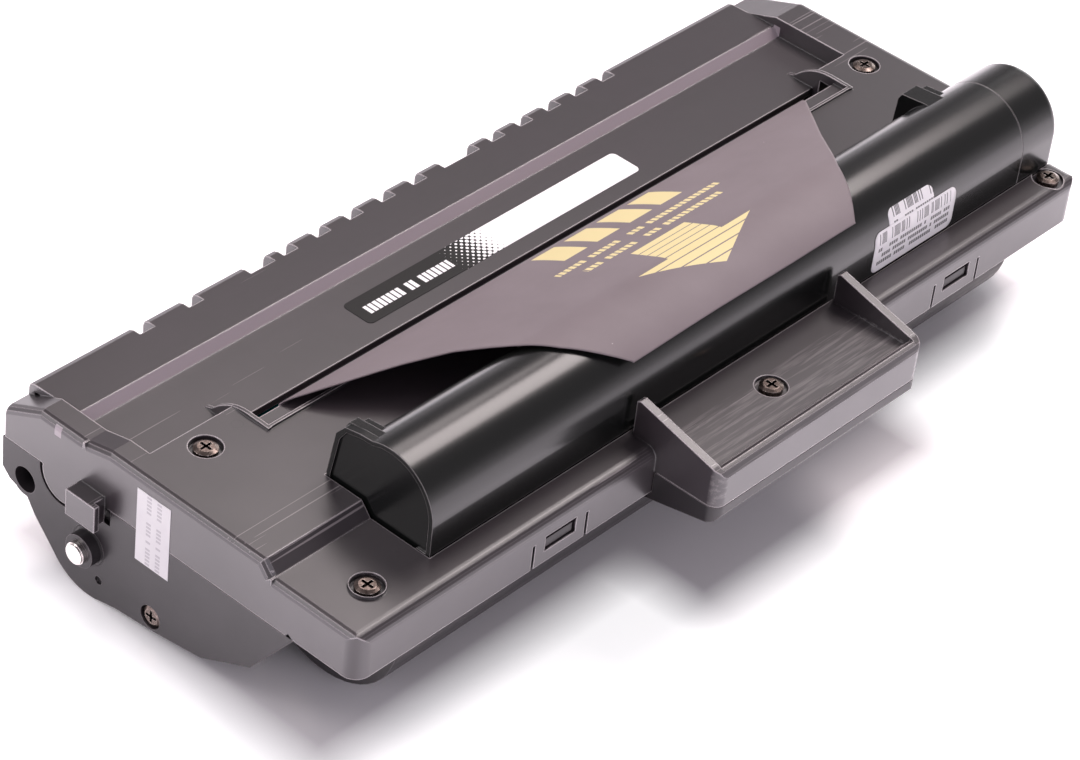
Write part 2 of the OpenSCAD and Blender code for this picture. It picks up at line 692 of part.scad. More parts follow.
// Cross ribs under the belly, on which the front half of the cartridge stands
module belly_ribs() {
    for (x = [base_x0 + 12 : 24 : base_x1 - 8]) along_x(x, x + 1.8)
        polygon([[agitator_c[0] - 14, agitator_c[1] - trough_r + 2.2], [agitator_c[0] - 8, -base_drop],
            [agitator_c[0] + 12, -base_drop], trough_dip + [1.1, -0.8], trough_dip + [0, 0.3],
            [agitator_c[0], agitator_c[1] - trough_r - wall / 2]]);
}

plug_c = agitator_c + polar(11.8, -38);
plug_r = 7.4;
module fill_plug() place(natural) {
    rod(base_x0 - 0.8, base_x0, plug_c, plug_r + 1);
    difference() {
        rod(base_x0, base_x0 + 3, plug_c, plug_r);
        rod(base_x0 + 1, base_x0 + 4, plug_c, plug_r - 1.2);
    }
}

// Waste toner frame behind the drum, with the paper guide ribs on its rear wall
frame_x0 = 12.5;
frame_x1 = body_l - 23;
frame_y0 = 103.9;
frame_top = 9;
bin_floor = -12;
frame_path = [[108.6, bin_floor], [117.6, bin_floor], [body_d - 0.8, bin_floor + 3], [body_d - 0.8, rear_lip - 0.4],
    [body_d - wall - 0.3, rear_lip - 0.2], [body_d - wall - 0.3, frame_top], [frame_y0, frame_top],
    [frame_y0, 0]];
module drum_frame() place(black) {
    difference() {
        union() {
            along_x(frame_x0, frame_x1) wall_along(frame_path, 1.7);
            for (x = [frame_x0, frame_x1 - 2]) along_x(x, x + 2) polygon(concat(frame_path, [[105.6, -2]]));
            for (x = [drum_x0 + 1, drum_x1 - 6]) charge_cradle(x);
            for (x = [46 : 12.2 : body_l - 44]) guide_rib(x);
        }
        for (x = blade_screw_x) translate([x, frame_y0, blade_screw_z]) rotate([-90, 0, 0])
            translate([0, 0, -1]) cylinder(h = 4, r = screw_r + 0.05);
        rod(frame_x1 - 4, frame_x1 + 1, cap_screw_rear_c, screw_r + 0.05);
    }
}
blade_screw_x = [drum_x0 + 14, drum_x1 - 14];
blade_screw_z = 5.6;

module guide_rib(x) {
    along_x(x, x + 1.4) polygon(concat([[118.6, bin_floor + 2.4], [body_d + 0.4, bin_floor + 5]],
        arc([body_d - 0.6, rear_lip - 2.4], 2, 0, 90, 4), [[118.6, rear_lip - 0.6]]));
}

// Pocket that guides one bearing of the charge roller
bearing_w = 4;
module charge_cradle(x) {
    difference() {
        block([x, x + bearing_w + 1], [charge_c[0] - 5.4, frame_y0 + 0.1], [0.3, frame_top]);
        block([x - 1, x + bearing_w + 2], [charge_c[0] - 4, charge_c[0] + 4], [-1, frame_top - 0.8]);
        rod(x - 1, x + bearing_w + 2, drum_c, drum_r + nip_gap);
    }
}

module charge_bearings() place(natural) {
    for (x = [drum_x0 + 1.5, drum_x1 - 5.5]) difference() {
        block([x, x + bearing_w], [charge_c[0] - 3.8, charge_c[0] + 3.8], [charge_c[1] - 3.2, charge_c[1] + 2.9]);
        rod(x - 1, x + bearing_w + 1, charge_c, charge_shaft_r + run_gap);
        rod(x - 1, x + bearing_w + 1, drum_c, drum_r + nip_gap);
    }
}

// Short pressure springs above the bearings, as closely wound rings
module charge_springs() place(steel) {
    z0 = charge_c[1] + 2.9;
    z1 = frame_top - 0.8;
    lap = 0.02;
    wire = (z1 - z0 + 2 * lap) / 6;
    for (x = [drum_x0 + 3.5, drum_x1 - 3.5]) translate([x, charge_c[0], z0])
        rotate_extrude() union() {
            for (i = [0 : 2]) translate([1.5, wire + (2 * wire - lap) * i]) circle(wire, $fn = 16);
        }
}

module charge_roller_shaft() place(steel) {
    rod(drum_x0 + 0.5, drum_x1 - 0.5, charge_c, charge_shaft_r);
}

module charge_roller_sleeve() place([0.16, 0.16, 0.17]) {
    tube(drum_x0 + 8, drum_x1 - 8, charge_c, charge_r, charge_shaft_r + 0.02);
}

// Urethane blade on a steel bracket that is screwed to the waste frame
module cleaning_blade() place([0.82, 0.68, 0.42]) {
    tip = drum_c + polar(drum_r + nip_gap, 30);
    block([drum_x0 + 8, drum_x1 - 8], [frame_y0 - 0.3, frame_y0 + 1.2], [tip[1] + 0.2, -0.6]);
}

module cleaning_bracket() place(steel) {
    difference() {
        union() {
            block([drum_x0 + 7, drum_x1 - 7], [frame_y0 - 1.5, frame_y0 - 0.3], [-5, 8.2]);
            block([drum_x0 + 7, drum_x1 - 7], [frame_y0 - 1.5, frame_y0], [0.4, 8.2]);
        }
        for (x = blade_screw_x) translate([x, frame_y0 + 1, blade_screw_z]) rotate([90, 0, 0])
            cylinder(h = 6, r = screw_r + fit_gap);
    }
}

module recovery_film() place([0.3, 0.3, 0.32]) {
    block([drum_x0 + 6, drum_x1 - 6], [105.7, 112], [bin_floor - 0.25, bin_floor]);
}

// Left end cap: a shallow tray under the cover's left skirt
left_outline = concat([[20.4, -0.2], [33.6, -17.5], [50, -25.6], [67.7, -28.4], [80, -29.6]],
    arc(drum_c, drum_r + 0.8, 252, 322, 10),
    [[109.7, -18.3], [112.6, -14.1], [119, -12.2], [body_d + 0.8, -9.6], [body_d + 0.8, -0.2]]);
hole_c = [113.5, -9.2];
hole_r = 3.7;
module left_end_cap() place(black) {
    difference() {
        union() {
            along_x(0, side_t) polygon(left_outline);
            along_x(0, left_cap_w) wall_along(left_outline, wall);
            rod(0, left_cap_w, drum_c, 7.4);
            rod(0, left_cap_w, hole_c, hole_r + 1.2);
            rod(1, left_cap_w, cap_screw_c, 4.2);
            for (y = [56, 78]) block([1, left_cap_w], [y, y + 1.4], [-27.5, -0.2]);
        }
        rod(-1, left_cap_w + 1, drum_c, bush_r + 0.05);
        rod(-1, left_cap_w + 1, hole_c, hole_r);
        rod(-1, 2.2, cap_screw_c, screw_head_r + 0.2);
        rod(-1, left_cap_w + 1, cap_screw_c, screw_r + fit_gap);
        intersection() {
            rod(-1, side_t + 1, lobe_c, lobe_r + 1);
            block([-2, side_t + 2], [80, body_d], [-far, 1]);
        }
        block([-6, 1.4], [83, 94], [-4.9, 1]);
        for (c = [[88.2, -5.6], [86.4, -24.6]]) rod(-1, 0.7, c, 1.2);
    }
}

// Right end cap: a deeper tray over the gear train, open where the printer drives the drum gear
right_outline = concat([[9.9, -0.2], [12.5, -12], [21, -21.5], [38, -27.6], [54, -29.8], [80, -30.6]],
    arc(drum_c, drum_r + 0.8, 252, 322, 10),
    [[109.7, -18.3], [112.6, -14.1], [119, -12.2], [body_d + 0.8, -9.6], [body_d + 0.8, -0.2]]);
module right_end_cap() place(black) {
    face = body_l - side_t;
    difference() {
        union() {
            along_x(face, body_l) polygon(right_outline);
            along_x(right_cap_x0, body_l) wall_along(right_outline, 1);
            along_x(face - 2, body_l) wall_along(right_outline, 2.4);
            block([flange_right - 1.4, body_l], [9.9, hump_foot], front_floor);
            rod(gear_x0 + gear_w + 1, body_l, drum_c, 7.4);
            difference() {
                union() {
                    post(plate_screws[1], 3.4, -5, plate_h - 5);
                    block([plate_screws[1][0], face + 0.1], [plate_screws[1][1] - 1, plate_screws[1][1] + 1], [-5, -0.2]);
                }
                post(plate_screws[1], screw_r + 0.05, -3, far);
            }
            rod(right_cap_x0, body_l, cap_screw_rear_c, 2.8);
            for (c = [lower_idler_c, upper_idler_c]) if (c[1] < 0) rod(gear_end + 1, face + 0.1, c, 3.6);
        }
        rod(gear_x0, body_l + 1, drum_c, bush_r + 0.05);
        block([gear_x0 - 0.9, gear_x0 + gear_w + 0.9], [drum_c[0] + 8, drum_c[0] + 22], [-28, -9]);
        rod(right_cap_x0 - 1, body_l + 1, cap_screw_rear_c, screw_r + fit_gap);
        rod(body_l - 2.2, body_l + 1, cap_screw_rear_c, screw_head_r + 0.2);
        rod(gear_end + 0.9, gear_end + 4, lower_idler_c, idler_pin_r + 0.05);
        rod(right_cap_x0 - 1, gear_end + 1, [developer_c[0], developer_c[1]], 10.6);
    }
}

bush_r = 5.4;
small_bush_r = 4.1;
bush_out = 3.2;
guide_pin_r = 4.7;
module drum_shaft() place(steel) {
    rod(-shaft_out + 0.5, body_l + shaft_out - 0.5, drum_c, shaft_r);
    for (x = [-shaft_out, body_l + shaft_out - 0.5]) rod(x, x + 0.5, drum_c, shaft_r - 0.3);
}

module left_shaft_bush() place(black) {
    tube(-bush_out, 0, drum_c, guide_pin_r, shaft_r + 0.03);
    tube(-0.01, left_cap_w, drum_c, bush_r, shaft_r + 0.03);
}

module right_shaft_bush() place(black) {
    tube(gear_x0 + gear_w + 1.4, body_l + 0.01, drum_c, bush_r, shaft_r + 0.03);
    tube(body_l, body_l + bush_out, drum_c, guide_pin_r + 0.3, shaft_r + 0.03);
}

module opc_drum() place([0.2, 0.55, 0.6]) {
    tube(drum_x0, drum_x1, drum_c, drum_r, drum_r - drum_t);
}

module drum_hub() place(natural) {
    tube(drum_x0 - 2.4, drum_x0, drum_c, drum_r - 0.4, shaft_r + run_gap);
    difference() {
        tube(drum_x0 - 0.1, drum_x0 + 7, drum_c, drum_r - drum_t - 0.05, shaft_r + run_gap);
        tube(drum_x0 + 2, drum_x0 + 8, drum_c, drum_r - drum_t - 1.6, shaft_r + 2.6);
    }
}

module drum_ground_plate() place(brass) {
    difference() {
        rod(drum_x0 + 7, drum_x0 + 7.4, drum_c, drum_r - drum_t - 0.3);
        rod(drum_x0 + 6, drum_x0 + 9, drum_c, shaft_r + run_gap);
        for (a = [0 : 60 : 359]) translate([0, drum_c[0], drum_c[1]]) rotate([a, 0, 0])
            block([drum_x0 + 6, drum_x0 + 9], [8, 12.4], [-2.6, 2.6]);
    }
}

module drum_gear() place(natural) {
    tube(drum_x1, gear_x0, drum_c, drum_r - 0.6, shaft_r + run_gap);
    gear(drum_teeth, drum_c, drum_phase, gear_x0, gear_x0 + gear_w, shaft_r + run_gap, 6);
    difference() {
        tube(drum_x1 - 7, drum_x1 + 0.1, drum_c, drum_r - drum_t - 0.05, shaft_r + run_gap);
        tube(drum_x1 - 8, drum_x1 - 2, drum_c, drum_r - drum_t - 1.6, shaft_r + 2.6);
    }
}

module developer_sleeve() place([0.2, 0.2, 0.21]) {
    tube(sleeve_x0, sleeve_x1, developer_c, developer_r, developer_shaft_r + 0.02);
}

module developer_shaft() place(steel) {
    rod(base_x0 - 8, gear_x0 + gear_w + 0.8, developer_c, developer_shaft_r);
}

module developer_gear() place(natural) {
    gear(developer_teeth, developer_c, developer_phase, gear_x0, gear_x0 + gear_w,
        developer_shaft_r + 0.03, 4.6);
}

// A flanged bearing bush in each end wall of the lower housing
module bush_pair(c, r_in, r_out) {
    for (side = [0, 1]) {
        x0 = side == 0 ? base_x0 - 1 : base_x1 - side_t;
        flange_x = side == 0 ? base_x0 - 1 : base_x1;
        tube(x0, x0 + side_t + 1, c, r_out, r_in);
        tube(flange_x, flange_x + 1, c, r_out + 1, r_in);
    }
}

module developer_bushes() place(natural) {
    bush_pair(developer_c, developer_shaft_r + run_gap, bush_r);
}

module supply_bushes() place(natural) {
    bush_pair(supply_c, supply_shaft_r + run_gap, small_bush_r);
}

// Felt rings that seal the ends of the developer roller
module developer_felts() place([0.85, 0.84, 0.8]) {
    for (x = [[base_x0 + side_t + 0.3, sleeve_x0 - 0.3], [sleeve_x1 + 0.3, base_x1 - side_t - 0.3]])
        tube(x[0], x[1], developer_c, developer_r - 0.2, developer_shaft_r + 0.1);
}

module supply_foam() place([0.25, 0.25, 0.27]) {
    tube(sleeve_x0 + 2, sleeve_x1 - 2, supply_c, supply_r, supply_shaft_r + 0.02);
}

module supply_shaft() place(steel) {
    rod(base_x0 - 6, gear_end + 0.8, supply_c, supply_shaft_r);
}

module supply_gear() place(natural) {
    gear(supply_teeth, supply_c, supply_phase, gear_x1, gear_end, supply_shaft_r + 0.03, 4);
}

module doctor_blade() place(steel) {
    along_x(base_x0 + side_t + 2, base_x1 - side_t - 2)
        polygon([on_blade(0.2, 0), on_blade(12, 0), on_blade(12, 0.4), on_blade(0.2, 0.4)]);
}

module doctor_bracket() place(steel) {
    difference() {
        along_x(base_x0 + side_t + 1, base_x1 - side_t - 1) polygon([on_blade(5, 0.4), on_blade(12.2, 0.4),
            on_blade(12.2, 1.8), on_blade(6.5, 1.8), on_blade(6.5, 4.6), on_blade(5, 4.6)]);
        for (x = blade_screw_x) on_bracket(x, 2) cylinder(h = 3, r = screw_r + fit_gap);
    }
}

// Puts a screw square to the blade, with its seat on the bracket
module on_bracket(x, drop) {
    seat = on_blade(10, 1.8);
    translate([x, seat[0], seat[1]]) rotate([-48, 0, 0]) translate([0, 0, -drop]) children();
}

module blade_screws() place(steel) {
    for (x = blade_screw_x) {
        on_bracket(x, 0) screw(1.3, 2.6, 1.2);
        translate([x, frame_y0 - 1.5, blade_screw_z]) rotate([90, 0, 0]) screw(3.2, 2.5, 1.2);
    }
}

// Agitator: a round shaft with a flat bar, and the film that sweeps the trough
paddle_a = -55;
module agitator_shaft() place(natural) {
    rod(base_x0, gear_end + 0.8, agitator_c, agitator_shaft_r);
    translate([0, agitator_c[0], agitator_c[1]]) rotate([paddle_a, 0, 0])
        for (x = [base_x0 + 18 : 38 : base_x1 - 30])
            block([x, x + 14], [-agitator_shaft_r - 3, agitator_shaft_r + 3], [-1.6, 0]);
}

module agitator_film() place([0.75, 0.8, 0.85]) {
    translate([0, agitator_c[0], agitator_c[1]]) rotate([paddle_a, 0, 0]) difference() {
        block([hump_x0 + 4, base_x1 - side_t - 4], [agitator_shaft_r + 0.2, paddle_r], [0, 0.25]);
        for (x = [base_x0 + 34 : 38 : base_x1 - 20]) block([x, x + 8], [9, 15], [-1, 1]);
    }
}

module agitator_gear() place(natural) {
    gear(agitator_teeth, agitator_c, agitator_phase, gear_x1, gear_end, agitator_shaft_r + 0.03, 5);
}

module agitator_seal() place([0.85, 0.84, 0.8]) {
    tube(base_x1, base_x1 + 1.4, agitator_c, 6, agitator_shaft_r + run_gap);
}

module lower_idler_gear() place(natural) {
    gear(lower_idler_teeth, lower_idler_c, lower_idler_phase, gear_x0, gear_end, idler_pin_r + run_gap, 4);
}

module upper_idler_gear() place(natural) {
    gear(upper_idler_teeth, upper_idler_c, upper_idler_phase, gear_x1, gear_end, idler_pin_r + run_gap, 4);
}

module idler_pins() place(steel) {
    rod(base_x1 - side_t, gear_end + 2.6, lower_idler_c, idler_pin_r);
    rod(base_x1, gear_x0 - 0.4, lower_idler_c, idler_pin_r + 1.2);
    rod(hump_x1 - side_t, gear_end + 1, upper_idler_c, idler_pin_r);
    rod(hump_x1, gear_x1 - 0.4, upper_idler_c, idler_pin_r + 1.2);
}

// Contact strips inside the left end cap: a foot on the cap's face, an arm and a leaf at the shaft
strip_t = 0.4;
module contact(c_y, half_w, foot, arm_z, leaf_z, reach) {
    y = [c_y - half_w, c_y + half_w];
    block([side_t, side_t + strip_t], y, foot);
    block([side_t, reach], y, [arm_z, arm_z + strip_t]);
    block([reach - strip_t, reach], y, leaf_z);
}

module drum_contact() place(brass) {
    contact(drum_c[0] - 1, 3, [-8.2, -5.4], -8.2, [drum_c[1] + shaft_r + 0.05, -7.8], left_cap_w + 2.6);
}

module developer_contact() place(brass) {
    contact(developer_c[0], 3.5, [-14.6, -4], -14.6, [-19.6, -14.2], base_x0 - 8.1);
}

module supply_contact() place(brass) {
    contact(supply_c[0] - 0.6, 2.6, [-16, -6], -16, [-21.4, -15.6], base_x0 - 6.1);
}

module cover_screws() place(steel) {
    for (at = plate_screws) translate([at[0], at[1], plate_h - recess_d]) screw(8);
    for (at = flange_screws) translate([at[0], at[1], flange_h + 0.8 - recess_d]) screw(7);
    translate([handle_screw[0], handle_screw[1], shelf_h + 0.6 - recess_d]) screw(7);
}

module end_cap_screws() place(steel) {
    translate([2.2, cap_screw_c[0], cap_screw_c[1]]) rotate([0, -90, 0]) screw(14);
    translate([body_l - 2.2, cap_screw_rear_c[0], cap_screw_rear_c[1]]) rotate([0, 90, 0]) screw(22);
}

// Card sheet that is pulled out of the slot before use: up through the slot, then forward over the hump
function bezier(p, t) = pow(1 - t, 3) * p[0] + 3 * t * pow(1 - t, 2) * p[1]
    + 3 * t * t * (1 - t) * p[2] + t * t * t * p[3];
sheet_t = 0.4;
sheet_x0 = slot_x0 + 8;
sheet_x1 = slot_x1 - 13.5;
sheet_rise = [slot_front + slot_ledge + 0.4, plate_h - 0.6];
sheet_top = [hump_y + 8.3, hump_z + hump_r - 0.3];
sheet_end = [hump_y - 13.7, hump_z + hump_r - 2.7];
sheet_path = concat([[sheet_rise[0], -1]],
    [for (i = [0 : 8]) bezier([sheet_rise, sheet_rise + [-1.1, 2.9], sheet_top + [17, -7.5], sheet_top], i / 8)],
    [for (i = [1 : 6]) bezier([sheet_top, sheet_top + [-6, 2.4], sheet_end + [8, 4.8], sheet_end], i / 6)]);
module protective_sheet() place([0.42, 0.38, 0.39]) {
    intersection() {
        along_x(sheet_x0 - 1, sheet_x1 + 1) wall_along(sheet_path, sheet_t);
        translate([0, 0, -2]) linear_extrude(far) polygon(concat(
            [[sheet_x0, slot_back], [sheet_x0, slot_front + 4], [56.5, 61.5], [80, 45.4], [86, 33.4], [92.4, 24], [99, 17],
                [105.7, 12.3], [108, 8]],
            [[192, 8], [194.2, 11.4], [200.6, 18.9], [207, 27.7], [238.4, 59.9], [sheet_x1, slot_front + 4],
                [sheet_x1, slot_back]]));
    }
}

label_t = 0.12;
label_lift = 0.03;
module plate_label() place([0.95, 0.95, 0.95]) {
    translate([0, 0, strip_h]) linear_extrude(label_t) rounded([90, 83.4], [196, 93.8], 1.6);
}

module rounded(low, high, r) {
    union() {
        translate([low[0] + r, low[1]]) square([high[0] - low[0] - 2 * r, high[1] - low[1]]);
        translate([low[0], low[1] + r]) square([high[0] - low[0], high[1] - low[1] - 2 * r]);
        for (x = [low[0] + r, high[0] - r], y = [low[1] + r, high[1] - r]) translate([x, y]) circle(r, $fn = 24);
    }
}

// Labels that follow the front of the hump
function hump_front(z0, high_a) = concat([[hump_y - hump_r, z0], [hump_y - hump_r, hump_z]],
    arc(hump_c, hump_r, 172, high_a, 8));
module inner_barcode_label() place([0.93, 0.93, 0.94]) {
    along_x(209.6, 229) wall_along(beside(hump_front(20, 140), label_t + label_lift), label_t);
}

module barcode_label() place([0.95, 0.95, 0.96]) {
    along_x(203.2, 238.4) wall_along(beside(hump_front(14.4, 160), 2 * label_t + label_lift), label_t);
}

module end_sticker() place([0.94, 0.94, 0.95]) {
    block([-label_t, 0], [62.4, 73.9], [0.2, 13.4]);
    block([-label_t, 0], [62.4, 73.9], [-9, 0.2]);
}

top_cover();
toner_hopper();
hopper_end_cap();
hopper_base();
fill_plug();
drum_frame();
left_end_cap();
right_end_cap();
drum_shaft();
left_shaft_bush();
right_shaft_bush();
opc_drum();
drum_hub();
drum_gear();
drum_ground_plate();
charge_roller_shaft();
charge_roller_sleeve();
charge_bearings();
charge_springs();
cleaning_blade();
cleaning_bracket();
recovery_film();
developer_sleeve();
developer_shaft();
developer_gear();
developer_bushes();
developer_felts();
supply_foam();
supply_shaft();
supply_gear();
supply_bushes();
doctor_blade();
doctor_bracket();
blade_screws();
agitator_shaft();
agitator_film();
agitator_gear();
agitator_seal();
lower_idler_gear();
upper_idler_gear();
idler_pins();
drum_contact();
developer_contact();
supply_contact();
cover_screws();
end_cap_screws();
protective_sheet();
plate_label();
inner_barcode_label();
barcode_label();
end_sticker();
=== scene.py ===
"""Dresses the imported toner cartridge: finishes, printed sheet and labels, screws, floor, light and camera."""

import logging
import math
from dataclasses import dataclass, field, replace
from enum import Enum

import bpy
import numpy as np
from mathutils import Matrix, Vector


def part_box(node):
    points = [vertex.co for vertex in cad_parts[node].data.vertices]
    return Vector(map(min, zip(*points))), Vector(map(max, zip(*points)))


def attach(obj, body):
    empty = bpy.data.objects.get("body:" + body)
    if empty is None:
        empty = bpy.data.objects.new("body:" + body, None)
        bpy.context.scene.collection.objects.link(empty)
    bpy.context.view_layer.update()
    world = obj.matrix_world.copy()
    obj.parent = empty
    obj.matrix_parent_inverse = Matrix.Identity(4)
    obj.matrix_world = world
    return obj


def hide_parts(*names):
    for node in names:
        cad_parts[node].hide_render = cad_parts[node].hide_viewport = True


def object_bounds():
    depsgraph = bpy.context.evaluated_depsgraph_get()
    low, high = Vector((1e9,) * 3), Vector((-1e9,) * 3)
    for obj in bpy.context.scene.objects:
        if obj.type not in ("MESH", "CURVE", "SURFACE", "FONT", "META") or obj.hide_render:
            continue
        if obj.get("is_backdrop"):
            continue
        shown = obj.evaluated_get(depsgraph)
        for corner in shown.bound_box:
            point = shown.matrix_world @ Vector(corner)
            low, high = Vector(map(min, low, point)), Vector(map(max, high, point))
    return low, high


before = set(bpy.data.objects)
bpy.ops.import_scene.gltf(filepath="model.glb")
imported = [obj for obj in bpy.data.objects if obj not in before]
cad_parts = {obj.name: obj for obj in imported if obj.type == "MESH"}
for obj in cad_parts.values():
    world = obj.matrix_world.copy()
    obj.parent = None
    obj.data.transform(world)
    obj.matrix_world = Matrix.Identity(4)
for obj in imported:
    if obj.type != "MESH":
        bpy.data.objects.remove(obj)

MM = 0.001
LOG = logging.getLogger("cartridge")
HOUSING = "housing"


def linear(hex_colour: str) -> tuple[float, float, float, float]:
    """Turns an sRGB hex colour into Blender's linear RGBA.

    Args:
        hex_colour: Six hex digits, with or without a leading mark.

    Returns:
        The linear red, green and blue with an alpha of one.
    """
    digits = hex_colour.lstrip("#")
    parts = [int(digits[i:i + 2], 16) / 255 for i in (0, 2, 4)]
    curve = [p / 12.92 if p <= 0.04045 else ((p + 0.055) / 1.055) ** 2.4 for p in parts]
    return (*curve, 1.0)


def add_node(tree: bpy.types.NodeTree, kind: str, inputs: dict | None = None, **settings) -> bpy.types.Node:
    """Adds a node, sets its properties, and sets or links its inputs.

    Args:
        tree: The node tree.
        kind: The node's type name.
        inputs: Socket name or number, with the value or the output socket that it takes.
        **settings: Properties of the node.

    Returns:
        The new node.
    """
    made = tree.nodes.new(kind)
    for name, value in settings.items():
        setattr(made, name, value)
    for socket, value in (inputs or {}).items():
        if isinstance(value, bpy.types.NodeSocket):
            tree.links.new(value, made.inputs[socket])
        else:
            made.inputs[socket].default_value = value
    return made


def calc(tree: bpy.types.NodeTree, operation: str, *values, clamp: bool = False) -> bpy.types.NodeSocket:
    """Adds one step of arithmetic on sockets and numbers and returns its result."""
    step = add_node(tree, "ShaderNodeMath", dict(enumerate(values)), operation=operation, use_clamp=clamp)
    return step.outputs[0]


def blend_colours(tree: bpy.types.NodeTree, amount, first, second) -> bpy.types.NodeSocket:
    """Mixes two colours by an amount and returns the colour."""
    mixed = add_node(tree, "ShaderNodeMix", {0: amount, 6: first, 7: second}, data_type="RGBA")
    return mixed.outputs[2]


def inside(tree: bpy.types.NodeTree, value, low: float, high: float) -> bpy.types.NodeSocket:
    """Returns one where a value lies between two limits, else nought."""
    return calc(tree, "MULTIPLY", calc(tree, "GREATER_THAN", value, low), calc(tree, "LESS_THAN", value, high))


def dashes(tree: bpy.types.NodeTree, along, across, cell: float, row: float, tall: float, fill: float,
           wide: float = 0.78) -> bpy.types.NodeSocket:
    """Rows of short bars that stand in for lines of print.

    A cell is inked where its own random number is under fill, and only in the part of the cell that
    wide and tall leave over from the gaps.

    Args:
        tree: The node tree.
        along: Distance along the rows, in metres.
        across: Distance across the rows, in metres.
        cell: Pitch of the bars in millimetres.
        row: Pitch of the rows in millimetres.
        tall: Share of the row that a bar fills.
        fill: Share of the cells that are inked.
        wide: Share of the cell that a bar fills.

    Returns:
        One on a bar, else nought.
    """
    columns = calc(tree, "DIVIDE", along, cell * MM)
    rows = calc(tree, "DIVIDE", across, row * MM)
    place = add_node(tree, "ShaderNodeCombineXYZ",
                     {0: calc(tree, "FLOOR", columns), 1: calc(tree, "FLOOR", rows)})
    chance = add_node(tree, "ShaderNodeTexWhiteNoise", {"Vector": place.outputs[0]}, noise_dimensions="2D")
    inked = calc(tree, "LESS_THAN", chance.outputs["Value"], fill)
    bar = calc(tree, "MULTIPLY", calc(tree, "LESS_THAN", calc(tree, "FRACT", columns), wide),
               calc(tree, "LESS_THAN", calc(tree, "FRACT", rows), tall))
    return calc(tree, "MULTIPLY", inked, bar)


class Surface(Enum):
    """How a finish finds its place on the piece."""

    SOLID = "Object"
    SHEET = "UV"


